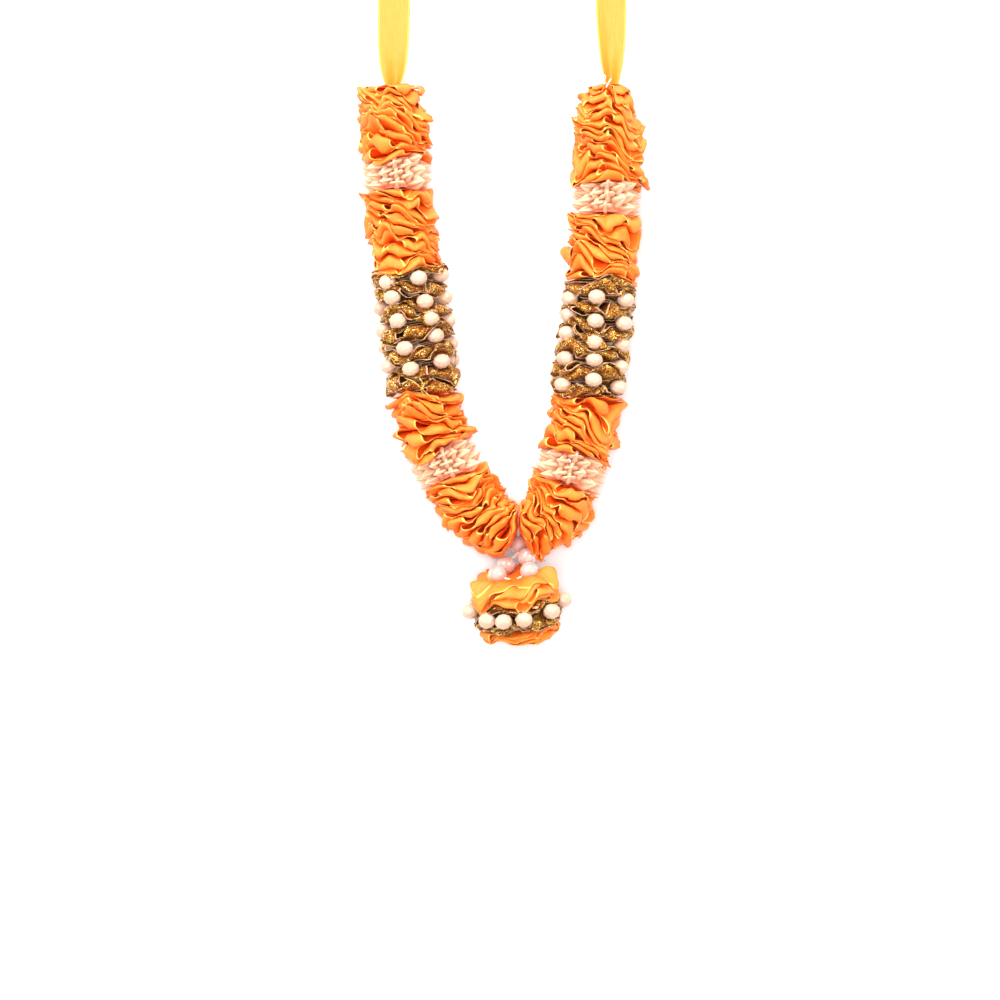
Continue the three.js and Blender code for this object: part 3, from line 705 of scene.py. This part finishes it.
def ruffle_piece(name, place, blocks, cloth, width, fold_length, start, turn, seed, values,
                 columns=10, rows=18, beads=(), rounds=(), droop=0.0, tilt=0.0, flare=(0.0, 0.0),
                 crease_size=5.6, puffs=0.0, taper=1.0):
    """A ribbon folded to and fro across the thread, each layer turned a little from the last.

    blocks holds (low, high, layers) for each block of layers along the strand; beads lie between the blocks.
    rounds holds the centre, ways and half sizes of each bead or pearl that the ribbon stays clear of.
    """
    draw = random.Random(seed)
    # Vector noise takes its offsets from this seed, and 0 would mean the clock.
    noise.seed_set(seed + 1)
    count = sum(layers for _, _, layers in blocks)
    angles = [start]
    while len(angles) < count:
        angles.append(angles[-1] + turn * draw.uniform(0.6, 1.4))
    reaches = [fold_length / 2 * draw.uniform(0.94, 1.06) for _ in range(count + 1)]
    top, bottom = blocks[0][0], blocks[-1][1]

    def azimuth(fold):
        way = 1 if fold % 2 == 0 else -1
        middle = (angles[fold] + angles[fold + 1]) / 2
        return math.atan2(math.sin(middle) * way, math.cos(middle) * way)

    stacks = []
    first = 0
    for number, (low, high, layers) in enumerate(blocks):
        block_flare = (flare[0] if number == 0 else 0.0, flare[1] if number == len(blocks) - 1 else 0.0)
        folds = [(azimuth(k) + draw.uniform(-0.3, 1.1) * FOLD_SKEW, draw.uniform(0.6, 1.4))
                 for k in range(first, first + layers - 1)]
        stacks += [Stack(low, high, block_flare, first, folds)] * layers
        first += layers

    def level(k, x, y):
        return round_beads(stacks[k].level(k, x, y), x, y, beads)

    mesh_data = bmesh.new()
    bmesh.ops.create_grid(mesh_data, x_segments=columns, y_segments=rows * count, size=1.0)
    set_map(mesh_data, "ribbon",
            lambda vert: ((vert.co.x + 1) / 2, (vert.co.y + 1) / 2 * count * MAP_PER_LAYER))
    middle = []
    depths = {}
    shift = Vector((seed * 3.7, seed * 1.3, seed * 0.7))
    for vert in mesh_data.verts:
        across, run = vert.co.x, (vert.co.y + 1) / 2 * count
        k = min(count - 1, int(run + 1e-6))
        part = 2 * (run - k) - 1
        onward = 1 if part > 0 else -1
        other = k + onward
        joined = 0 <= other < count
        fold = k if part > 0 else k - 1
        way = (-1 if k % 2 else 1) * onward
        twist = 0.5 * (angles[other] - angles[k]) if joined else 0.0
        side = across * (width / 2)
        far = (reaches[fold + 1] if joined else fold_length / 2) - TONGUE * across * across
        turned = 0.0
        if joined:
            x, y = on_layer(angles[k] + twist, way, far, side)
            lobe = min(abs(level(other, x, y) - level(k, x, y)) / 2 * LOBE_NOSE, LOBE_MOST)
            if abs(part) <= FLAT_PART:
                out = (far - lobe) * abs(part) / FLAT_PART
            else:
                turned = (abs(part) - FLAT_PART) / (1 - FLAT_PART) * math.pi / 2
                out = far - lobe + lobe * math.sin(turned)
        else:
            out = far * abs(part)
        x, y = on_layer(angles[k] + twist * smooth(abs(part), 0.25, 1.0), way, out, side)
        along = level(k, x, y)
        if turned:
            along = mix(along, (along + level(other, x, y)) / 2, 1 - math.cos(turned))
        reach = math.hypot(x, y)
        rim = min(1.2, reach / SPREAD_RADIUS)
        depths[vert] = rim
        if reach > 1.0:
            spot = Vector((x / reach * PUFF_SIZE, y / reach * PUFF_SIZE, along / PUFF_LENGTH))
            puff = abs(noise.noise(spot + shift)) * PUFF_GAIN - PUFF_HOLLOW
            swell = puff * puffs * rim ** 2 / reach * (1 - 0.8 * smooth(along, bottom - PUFF_CALM, bottom))
            narrow = mix(taper, 1.0, smooth(along, top + TAPER_FROM, top + TAPER_TO))
            x, y = x * narrow * (1 + swell), y * narrow * (1 + swell)
        cloth_spot = Vector((x, y, along)) / crease_size + shift
        crease = noise.noise_vector(cloth_spot) + noise.noise_vector(cloth_spot * FINE_CREASE) * FINE_DEPTH
        crease *= values.crumple * rim ** 2
        still = smooth(along, top, top + STILL_ROOM)
        slope = tilt * x * still * (1 - smooth(along, bottom - STILL_ROOM, bottom)) + droop * rim ** 3 * still
        point = clear_of_rounds(place(x + crease.x, y + crease.y, along + crease.z + slope), rounds)
        point.z = max(point.z, RIBBON_THICKNESS / 2 + 0.02)
        if abs(across) < 1e-6:
            middle.append((run, point))
        vert.co = in_frame(point)
    # The depth map places the orange satin's painted shade: 0 at the thread, 1 at the rim
    set_map(mesh_data, "depth", lambda vert: (depths[vert], 0.5))
    mesh_data.normal_update()
    piece = finish_piece(mesh_data, f"{name}_ruffle", *CLOTHS[cloth], values)
    middle.sort(key=lambda pair: pair[0])
    give_thickness(piece, RIBBON_THICKNESS)
    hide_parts(name)


def satin_block(start, length, pitch):
    """One block of layers that fills a section of a strand."""
    layers = max(2, round(length / pitch))
    return [(start + pitch * 0.4, start + length - pitch * 0.4, layers)]


def ring_places(side, start):
    rings = BEAD_RINGS[side]
    return [start + rings["first"] + ring * rings["spacing"] for ring in range(RINGS)]


def zari_blocks(side, start, length, pitch):
    """Blocks of layers between the bead rings, and before the first and after the last."""
    edges = [start + pitch * 0.3, *ring_places(side, start), start + length - pitch * 0.3]
    blocks = []
    for i, (low, high) in enumerate(zip(edges, edges[1:])):
        low += RING_ROOM if i else 0.0
        high -= RING_ROOM if i < RINGS else 0.0
        blocks.append((low, high, max(2, round((high - low) / pitch) + 1)))
    return blocks


def strand_rings(side, start):
    """Where a strand's bead rings lie and each one's azimuths."""
    rings = BEAD_RINGS[side]
    return [(place, [rings["azimuth"] + ring * rings["step"] + bead * 360 / BEADS_PER_RING
                     for bead in range(BEADS_PER_RING)])
            for ring, place in enumerate(ring_places(side, start))]


def bead_spots(rings, radius):
    """Each bead's place across the strand and along it."""
    return [(math.sin(math.radians(azimuth)) * radius, math.cos(math.radians(azimuth)) * radius, distance)
            for distance, azimuths in rings for azimuth in azimuths]


def bead_seats(frame_at, place, radius, rings):
    """Each bead's centre and its ways across, along and out."""
    seats = []
    for distance, azimuths in rings:
        _, sideways, up, along = frame_at(distance)
        for azimuth in azimuths:
            angle = math.radians(azimuth)
            out = sideways * math.sin(angle) + up * math.cos(angle)
            across = sideways * math.cos(angle) - up * math.sin(angle)
            centre = place(math.sin(angle) * radius, math.cos(angle) * radius, distance)
            seats.append((centre, (across, along, out)))
    return seats


def strand_seats(side, rings):
    return bead_seats(partial(strand_frame, side), partial(on_strand, side), BEAD_RING_RADIUS, rings)


def bead_rounds(seats):
    return [(centre, ways, BEAD_HALF) for centre, ways in seats]


def rounds_beside(side, name, start, length):
    """The pearls or the first ring of beads that an orange ruffle lies against."""
    if name == "orange_4":
        return PEARL_ROUNDS
    if name == "orange_2":
        return bead_rounds(strand_seats(side, strand_rings(side, start + length)[:1]))
    return ()


def beads_piece(name, seats, seed, values):
    """Faceted beads, each cut in rows of flat faces that are set between the faces of the next row."""
    draw = random.Random(seed)
    mesh_data = bmesh.new()
    for centre, (across, along, out) in seats:
        made = bmesh.ops.create_uvsphere(mesh_data, u_segments=BEAD_SIDES, v_segments=BEAD_ROWS, radius=1.0)
        heights = sorted({round(vert.co.z, 4) for vert in made["verts"]})
        spin = draw.uniform(0, math.tau)
        lean = draw.uniform(-0.2, 0.2)
        for vert in made["verts"]:
            row = heights.index(round(vert.co.z, 4))
            turned = Matrix.Rotation(spin + (row % 2) * math.pi / BEAD_SIDES, 3, "Z") @ vert.co
            turned = Matrix.Rotation(lean, 3, "X") @ turned
            local = Vector([part * size for part, size in zip(turned, BEAD_HALF)])
            vert.co = in_frame(centre + across * local.x + along * local.y + out * local.z)
    bmesh.ops.triangulate(mesh_data, faces=mesh_data.faces[:])
    bmesh.ops.recalc_face_normals(mesh_data, faces=mesh_data.faces[:])
    for vert in mesh_data.verts:
        vert.co.z = max(vert.co.z, 0.0)
    piece = finish_piece(mesh_data, f"{name}_strung", "faceted_bead", "cream_bead", values, flat_shaded=True)
    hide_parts(name)


def bud_band_piece(name, side, start, length, seed, values):
    """Buds that stand out round a core: four sharp folds each, widest past the middle, closing to a point."""
    draw = random.Random(seed)
    mesh_data = bmesh.new()
    in_row = values.bud_columns // 2
    rows_length = BUD_PITCH * (values.bud_rows - 1)
    first = start + (length - rows_length) / 2
    map_spots = {}
    for row in range(values.bud_rows):
        for i in range(in_row):
            angle = (2 * i + row % 2) * math.pi / in_row + draw.uniform(-0.03, 0.03)
            distance = first + row * BUD_PITCH + draw.uniform(-0.25, 0.25)
            size = draw.uniform(0.93, 1.07)
            lean = Vector((draw.uniform(-0.06, 0.06), draw.uniform(-0.06, 0.06)))
            spin = draw.uniform(-0.16, 0.16)
            made = bmesh.ops.create_uvsphere(mesh_data, u_segments=16, v_segments=12, radius=1.0)
            for vert in made["verts"]:
                part = math.acos(max(-1.0, min(1.0, -vert.co.z))) / math.pi
                around = math.atan2(vert.co.y, vert.co.x)
                map_spots[vert] = (abs(around) / math.pi, part)
                ridge = abs(math.cos(2 * around)) ** 1.2
                radius = mix(BUD_ROOT, BUD_TIP * mix(1.0, size, 0.3), part)
                belly = smooth(part, -0.5, 0.6) * min(1.0, (1 - part) / 0.38)
                spread = size * belly * mix(BUD_WAIST, BUD_RIDGE, ridge)
                sideways = math.cos(around + spin) * spread + lean.x * (radius - BUD_ROOT)
                lengthways = math.sin(around + spin) * spread * 0.88 + lean.y * (radius - BUD_ROOT)
                x = math.sin(angle) * radius + math.cos(angle) * sideways
                y = math.cos(angle) * radius - math.sin(angle) * sideways
                point = on_strand(side, x, y, distance + lengthways)
                point.z = max(point.z, 0.05)
                vert.co = in_frame(point)
    made = bmesh.ops.create_cone(mesh_data, cap_ends=True, segments=20, radius1=1.0, radius2=1.0, depth=1.0)
    for vert in made["verts"]:
        around = math.atan2(vert.co.x, vert.co.y)
        at = start + length / 2 + vert.co.z * (rows_length + 3.0)
        map_spots[vert] = (0.0, 0.0)
        vert.co = in_frame(on_strand(side, math.sin(around) * BUD_CORE, math.cos(around) * BUD_CORE, at))
    set_map(mesh_data, "bud", lambda vert: map_spots[vert])
    bmesh.ops.recalc_face_normals(mesh_data, faces=mesh_data.faces[:])
    piece = finish_piece(mesh_data, f"{name}_buds", "folded_bud", "bud_white", values)
    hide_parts(name)


def loose_thread_piece(name, lines, thickness, material, slot, values):
    """Short loose ends of thread: each line of points becomes a thin round strand with tapered ends."""
    mesh_data = bmesh.new()
    for points in lines:
        points = [Vector(point) for point in points]
        made = bmesh.ops.create_grid(mesh_data, x_segments=8, y_segments=24, size=1.0)
        for vert in made["verts"]:
            around = vert.co.x * math.pi
            run = (vert.co.y + 1) / 2 * (len(points) - 1)
            i = min(len(points) - 2, int(run + 1e-6))
            part = run - i
            before, after = points[max(0, i - 1)], points[min(len(points) - 1, i + 2)]
            one, two = points[i], points[i + 1]
            centre = (one * 2 + (two - before) * part + (before * 2 - one * 5 + two * 4 - after) * part ** 2
                      + (one * 3 - before - two * 3 + after) * part ** 3) / 2
            along = (two - one).normalized()
            side = along.orthogonal().normalized()
            size = thickness / 2 * min(1.0, 0.15 + 6 * (1 - abs(vert.co.y)))
            out = side * math.cos(around) + along.cross(side) * math.sin(around)
            vert.co = in_frame(centre + out * size)
    bmesh.ops.remove_doubles(mesh_data, verts=mesh_data.verts[:], dist=1e-6)
    bmesh.ops.holes_fill(mesh_data, edges=mesh_data.edges[:], sides=8)
    bmesh.ops.recalc_face_normals(mesh_data, faces=mesh_data.faces[:])
    set_map(mesh_data, "ribbon", lambda vert: (0.5, 0.5))
    finish_piece(mesh_data, name, material, slot, values)


# Settings, operators and panel

def length_property(label, words, value, low=10.0, high=60.0):
    """A length in millimetres, with the least and the most that it may be."""
    return bpy.props.FloatProperty(
        name=label, description=f"{words}, in millimetres", default=value, min=low, max=high)


def colour_property(label, words, red, green, blue):
    return bpy.props.FloatVectorProperty(
        name=label, description=words, subtype="COLOR", size=4, min=0.0, max=1.0,
        default=srgb(red, green, blue))


class GarlandSettings(bpy.types.PropertyGroup):
    """Sizes, counts and colours that a maker would change."""

    satin_width: length_property("Satin width", "Width of the orange ribbon", 13.5)
    satin_fold: length_property("Satin fold", "Length from fold to fold of the orange ribbon", 34.0)
    zari_width: length_property("Zari width", "Width of the gold ribbon", 18.0)
    zari_fold: length_property("Zari fold", "Length from fold to fold of the gold ribbon", 34.5)
    pendant_satin_width: length_property("Pendant satin width", "Width of the pendant's orange ribbon", 13.5)
    pendant_zari_width: length_property("Pendant zari width", "Width of the pendant's gold ribbon", 20.0)
    layer_pitch: length_property("Layer pitch", "Distance from one satin layer to the next", 0.58, 0.5, 10.0)
    zari_pitch: length_property("Zari pitch", "Distance from one gold layer to the next", 1.3, 0.5, 10.0)
    layer_turn: bpy.props.FloatProperty(
        name="Layer turn", description="How far each layer is turned from the one before it", subtype="ANGLE",
        default=math.radians(28.0), min=0.0, max=math.pi)
    crumple: length_property("Crumple", "How far the soft creases move the rims", 1.5, 0.0, 4.0)
    bud_columns: bpy.props.IntProperty(
        name="Bud columns", description="Columns of buds round a white band", default=14, min=6, max=24)
    bud_rows: bpy.props.IntProperty(
        name="Bud rows", description="Rows of buds along a white band", default=5, min=1, max=9)
    tie_width: length_property("Tie width", "Width of the yellow tie ribbon", 15.5, 5.0, 40.0)
    orange: colour_property("Orange", "Lit face of the orange satin", 255, 136, 50)
    # Darker streaks of the satin, also painted as shade inside the ruffles' rims
    orange_streaks_and_shade: colour_property("Deep orange", "Darker streaks of the orange satin", 255, 122, 38)
    # Edge line of the orange satin, partly a painted highlight along the rims
    orange_selvage_and_highlight: colour_property("Orange selvage", "Edge line of the orange satin", 255, 188, 90)
    # Painted shade and painted bounced red light deep between the folds, near the thread
    orange_painted_hollow_shade: colour_property("Orange hollow", "Satin deep between the folds", 255, 98, 20)
    yellow: colour_property("Yellow", "Lit face of the yellow satin", 232, 137, 42)
    yellow_deep: colour_property("Deep yellow", "Darker streaks of the yellow satin", 228, 125, 33)
    yellow_selvage: colour_property("Yellow selvage", "Edge line of the yellow satin", 230, 158, 60)
    zari_ground: colour_property("Zari ground", "Brown ground threads", 150, 66, 12)
    zari_shadow: colour_property("Zari shadow", "Gaps between the zari's threads", 84, 20, 0)
    zari_gold: colour_property("Zari gold", "Gold threads", 210, 148, 42)
    # Painted glints of the zari, and the paler clouds of the loose gold thread
    pale_gold_and_painted_glint: colour_property("Zari glint", "Threads that catch the light", 255, 230, 140)
    zari_selvage: colour_property("Zari selvage", "Copper edge line", 232, 182, 146)
    # Bud colours: peach, with painted shade at the root and painted highlight at the tips
    bud_root_and_painted_shade: colour_property("Bud root", "Buds near the thread", 228, 162, 124)
    bud_tip_and_painted_highlight: colour_property("Bud tip", "Ends of the buds", 226, 186, 156)
    bead_pale: colour_property("Bead", "Paler clouds in the beads", 210, 174, 150)
    bead_shade: colour_property("Bead shade", "Darker clouds in the beads", 202, 160, 134)
    pearl_pale: colour_property("Pearl", "Paler lustre of the pearls", 196, 170, 158)
    pearl_shade: colour_property("Pearl shade", "Deeper lustre of the pearls", 182, 150, 136)
    thread_white: colour_property("Thread", "Stringing thread", 248, 244, 238)
    thread_shade: colour_property("Thread shade", "Twist of the stringing thread", 214, 204, 194)


# Each softbox's place, aim and size in metres, and its power in watts.
SOFTBOXES = {
    "top_softbox": ((-0.15, 1.15, 0.8), (0.0, -0.05, 0.0), (0.8, 0.5), 27.0),
    "key_softbox": ((-0.75, 0.35, 1.15), (0.0, -0.05, 0.0), (0.4, 0.5), 10.0),
    "fill_softbox": ((0.85, 0.1, 1.05), (0.0, -0.05, 0.0), (0.4, 0.5), 5.0),
    "overhead_softbox": ((0.0, -0.15, 1.7), (0.0, -0.15, 0.0), (0.55, 0.55), 17.0),
}
CAMERA_AIM = Vector((0.0, -96.0, 18.0))


class GARLAND_OT_stage(bpy.types.Operator):
    """Sets the pale floor, the soft lights and the camera that looks straight down"""

    bl_idname = "garland.stage"
    bl_label = "Stage, lights and camera"

    def execute(self, context):
        scene = context.scene
        mesh_data = bmesh.new()
        bmesh.ops.create_grid(mesh_data, x_segments=2, y_segments=2, size=4.0)
        bmesh.ops.translate(mesh_data, verts=mesh_data.verts[:], vec=(0.0, 0.0, -0.0002))
        mesh = bpy.data.meshes.new("floor")
        mesh_data.to_mesh(mesh)
        mesh_data.free()
        floor = bpy.data.objects.new("floor", mesh)
        scene.collection.objects.link(floor)
        paper = {"Base_Color": (0.74, 0.74, 0.74, 1.0), "Roughness": 0.9, "Specular_IOR_Level": 0.1}
        mesh.materials.append(new_material("floor_paper", **paper)[0])

        for name, (place, aim, size, power) in SOFTBOXES.items():
            data = bpy.data.lights.new(name, "AREA")
            data.shape = "RECTANGLE"
            data.size, data.size_y = size
            data.energy = power
            lamp = bpy.data.objects.new(name, data)
            scene.collection.objects.link(lamp)
            lamp.location = place
            lamp.rotation_euler = (Vector(aim) - Vector(place)).to_track_quat("-Z", "Y").to_euler()
        bpy.data.objects["overhead_softbox"].visible_glossy = False
        world = bpy.data.worlds.new("studio")
        world.use_nodes = True
        world.node_tree.nodes["Background"].inputs["Color"].default_value = (1.0, 1.0, 1.0, 1.0)
        world.node_tree.nodes["Background"].inputs["Strength"].default_value = 0.95
        scene.world = world
        scene.view_settings.view_transform = "Standard"
        scene.view_settings.look = "None"
        scene.view_settings.exposure = 0.0

        lens = bpy.data.cameras.new("camera")
        lens.lens = 100.0
        lens.sensor_width = 36.0
        camera = bpy.data.objects.new("camera", lens)
        scene.collection.objects.link(camera)
        across = PICTURE_PIXELS * PIXEL
        centre = in_frame(CAMERA_AIM)
        camera.location = (centre.x, centre.y, centre.z + across * METRE * lens.lens / lens.sensor_width)
        scene.camera = camera
        return {"FINISHED"}


class GARLAND_OT_orange_ruffles(bpy.types.Operator):
    """Folds the orange satin ruffles of both strands"""

    bl_idname = "garland.orange_ruffles"
    bl_label = "Orange ruffles"

    def execute(self, context):
        values = context.scene.garland
        for side, number, name, start, length in sections("satin"):
            ruffle_piece(
                f"{side}_{name}", partial(on_strand, side), satin_block(start, length, values.layer_pitch),
                "satin", values.satin_width, values.satin_fold, start * ANGLE_ALONG + FIRST_ANGLE[side],
                values.layer_turn, number + SEEDS[side]["satin"], values, tilt=0.35, flare=SATIN_FLARE[name],
                rounds=rounds_beside(side, name, start, length), droop=SATIN_DROOP[name], puffs=2.8,
                taper=TOP_TAPER.get(f"{side}_{name}", 1.0))
        return {"FINISHED"}


class GARLAND_OT_gold_ruffles(bpy.types.Operator):
    """Folds the gold zari ruffles of both strands round their bead rings"""

    bl_idname = "garland.gold_ruffles"
    bl_label = "Gold ruffles and their beads"

    def execute(self, context):
        values = context.scene.garland
        for side, _, name, start, length in sections("zari"):
            rings = strand_rings(side, start)
            seats = strand_seats(side, rings)
            ruffle_piece(
                f"{side}_{name}", partial(on_strand, side),
                zari_blocks(side, start, length, values.zari_pitch), "zari", values.zari_width,
                values.zari_fold, start * ANGLE_ALONG + FIRST_ANGLE[side], values.layer_turn,
                SEEDS[side]["zari"], values, columns=12, beads=bead_spots(rings, BEAD_RING_RADIUS),
                rounds=bead_rounds(seats), flare=ZARI_FLARE)
            beads_piece(f"{side}_beads", seats, SEEDS[side]["beads"], values)
        return {"FINISHED"}


class GARLAND_OT_bud_bands(bpy.types.Operator):
    """Sets the white bud bands between the orange ruffles"""

    bl_idname = "garland.bud_bands"
    bl_label = "White bud bands"

    def execute(self, context):
        values = context.scene.garland
        for side, number, name, start, length in sections("buds"):
            bud_band_piece(f"{side}_{name}", side, start, length, number + SEEDS[side]["buds"], values)
        return {"FINISHED"}


class GARLAND_OT_pendant(bpy.types.Operator):
    """Builds the pendant: orange ruffles above and below a beaded gold one"""

    bl_idname = "garland.pendant"
    bl_label = "Pendant"

    def execute(self, context):
        values = context.scene.garland
        axes = (None, PENDANT_SIDE, PENDANT_UP, PENDANT_AXIS)
        seats = bead_seats(lambda distance: axes, on_pendant, PENDANT_RING_RADIUS, PENDANT_RINGS)
        beads = bead_rounds(seats)
        ruffle_piece(
            "pendant_lower", on_pendant, [PENDANT_LOWER_BLOCK], "satin", values.pendant_satin_width,
            fold_length=37.0, start=0.3, turn=PENDANT_TURN, seed=61, values=values, rows=22, columns=12,
            flare=(0.4, -0.4), puffs=1.5)
        ruffle_piece(
            "pendant_gold", on_pendant_gold, PENDANT_GOLD_BLOCKS, "zari", values.pendant_zari_width,
            fold_length=42.0, start=1.1, turn=PENDANT_TURN, seed=62, values=values, rows=28, columns=22,
            beads=bead_spots(PENDANT_RINGS, PENDANT_RING_RADIUS), rounds=beads)
        ruffle_piece(
            "pendant_upper", on_pendant_top, [PENDANT_UPPER_BLOCK], "satin", values.pendant_satin_width,
            fold_length=41.0, start=0.75, turn=PENDANT_TURN, seed=63, values=values, rows=22, columns=12,
            rounds=PEARL_ROUNDS + beads, flare=PENDANT_UPPER_FLARE, crease_size=6.6, puffs=1.4)
        beads_piece("pendant_beads", seats, seed=9, values=values)
        return {"FINISHED"}


class GARLAND_OT_pearls(bpy.types.Operator):
    """Strings the pearls that the pendant hangs on, and finishes the thread"""

    bl_idname = "garland.pearls"
    bl_label = "Pearls and thread"

    def execute(self, context):
        values = context.scene.garland
        for name, centre in PEARLS.items():
            mesh_data = bmesh.new()
            bmesh.ops.create_uvsphere(mesh_data, u_segments=40, v_segments=28, radius=PEARL_RADIUS * METRE)
            for vert in mesh_data.verts:
                if math.hypot(vert.co.x, vert.co.y) / (PEARL_RADIUS * METRE) < PEARL_HOLE:
                    vert.co.z *= PEARL_DIMPLE
            lean = Vector((0.2, -1.0, 0.6)).to_track_quat("Z", "Y").to_matrix().to_4x4()
            bmesh.ops.transform(mesh_data, matrix=lean, verts=mesh_data.verts[:])
            bmesh.ops.translate(mesh_data, verts=mesh_data.verts[:], vec=in_frame(Vector(centre)))
            piece = finish_piece(mesh_data, f"{name}_bead", "pearl_lacquer", "pearl", values)
            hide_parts(name)
        knot = [
            [(49.0, 105.2, 21.0), (48.0, 106.4, 23.0), (49.4, 107.2, 24.0), (50.6, 106.0, 23.2),
             (49.2, 105.0, 22.6), (48.4, 106.2, 21.6)],
            along_strand("right", (-0.9, 11.0, -0.4), (-1.6, 12.2, 0.8), (-2.4, 12.6, 2.4),
                         (-3.2, 12.8, 4.0)),
            [(48.6, 106.4, 22.6), (47.6, 108.2, 22.8), (47.2, 109.6, 22.0)],
        ]
        loose_thread_piece("right_tie_knot", knot, COTTON_WIDTH, "cotton_thread", "white_thread", values)
        end = [along_strand("right", (-3.4, 13.0, 183.4), (-3.0, 16.4, 183.0), (-2.2, 17.6, 183.6),
                            (-1.6, 17.2, 184.6))]
        loose_thread_piece("right_white_2_thread_end", end, COTTON_WIDTH, "cotton_thread", "white_thread",
                           values)
        hairs = [
            along_strand("left", (-8.0, 18.0, 141.0), (-3.4, 19.4, 145.5), (0.6, 19.8, 150.0),
                         (4.6, 19.8, 153.6), (9.0, 19.0, 155.6)),
            along_strand("left", (-1.0, 18.4, 142.0), (0.6, 19.6, 146.4), (-0.8, 19.8, 149.6),
                         (0.2, 19.0, 152.4)),
            along_strand("left", (14.0, 17.0, 104.0), (17.6, 17.9, 106.0), (19.4, 19.8, 105.0),
                         (19.9, 20.2, 103.4)),
            along_strand("left", (4.8, 20.4, 112.6), (8.4, 20.2, 110.6), (11.6, 19.6, 109.4)),
        ]
        loose_thread_piece("left_gold_loose_threads", hairs, GOLD_THREAD_WIDTH, "gold_thread", "gold_zari",
                           values)
        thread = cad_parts["stringing_thread"]
        thread.data.materials.clear()
        thread.data.materials.append(material_of("cotton_thread", values))
        return {"FINISHED"}


class GARLAND_OT_ties(bpy.types.Operator):
    """Lays the yellow tie ribbons, gathered where they leave the strands"""

    bl_idname = "garland.ties"
    bl_label = "Yellow ties"

    def execute(self, context):
        values = context.scene.garland
        full = values.tie_width
        for side in SIDES:
            top = strand_frame(side, 0.0)[0]
            way = -1 if side == "left" else 1
            mesh_data = bmesh.new()
            bmesh.ops.create_grid(mesh_data, x_segments=36, y_segments=200, size=1.0)
            set_map(mesh_data, "ribbon",
                    lambda vert: ((vert.co.x + 1) / 2, (vert.co.y + 1) / 2 * TIE_LENGTH / full))
            for vert in mesh_data.verts:
                across = vert.co.x / 2
                distance = (vert.co.y + 1) / 2 * TIE_LENGTH
                width = mix(TIE_GATHERED[side], full, 1 - math.exp(-distance / TIE_OPENS[side]))
                gather = math.sqrt(max(0.0, 1 - (width / full) ** 2))
                pleats = -math.cos(across * math.tau + 0.5 * way) * gather * TIE_PLEATS
                fall = smooth(distance, 0, TIE_FALL)
                height = mix(top.z, TIE_RESTS, fall) + pleats * (1 - 0.6 * fall)
                soft = noise.noise(Vector((across * 1.2, distance / 26, SEEDS[side]["tie"])))
                soft *= TIE_SOFTNESS * (1 - 0.7 * fall)
                drift = way * TIE_DRIFT * smooth(distance, 60, 190)
                slant = -across * full * 0.6 * way * smooth(distance, TIE_LENGTH - TIE_SLANT, TIE_LENGTH)
                point = Vector((top.x + across * width + drift, top.y - 1.5 + distance + slant,
                                max(0.2, height + soft)))
                vert.co = in_frame(point)
            mesh_data.normal_update()
            piece = finish_piece(mesh_data, f"{side}_tie_ribbon", "tie_satin", "yellow_satin", values)
            give_thickness(piece, TIE_THICKNESS)
            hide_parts(f"{side}_tie")
        return {"FINISHED"}


class GARLAND_PT_panel(bpy.types.Panel):
    """Lists the garland's pieces and settings"""

    bl_idname = "GARLAND_PT_panel"
    bl_label = "Ribbon garland"
    bl_space_type = "VIEW_3D"
    bl_region_type = "UI"
    bl_category = "Garland"

    def draw(self, context):
        for operator in OPERATORS:
            self.layout.operator(operator.bl_idname)
        for name in GarlandSettings.__annotations__:
            self.layout.prop(context.scene.garland, name)


OPERATORS = (
    GARLAND_OT_stage,
    GARLAND_OT_ties,
    GARLAND_OT_orange_ruffles,
    GARLAND_OT_bud_bands,
    GARLAND_OT_gold_ruffles,
    GARLAND_OT_pendant,
    GARLAND_OT_pearls,
)
CLASSES = (GarlandSettings, *OPERATORS, GARLAND_PT_panel)


def register():
    for part in CLASSES:
        bpy.utils.register_class(part)
    bpy.types.Scene.garland = bpy.props.PointerProperty(type=GarlandSettings)


def unregister():
    del bpy.types.Scene.garland
    for part in reversed(CLASSES):
        bpy.utils.unregister_class(part)


def main():
    register()
    for operator in OPERATORS:
        group, name = operator.bl_idname.split(".")
        getattr(getattr(bpy.ops, group), name)()


if __name__ == "__main__":
    main()
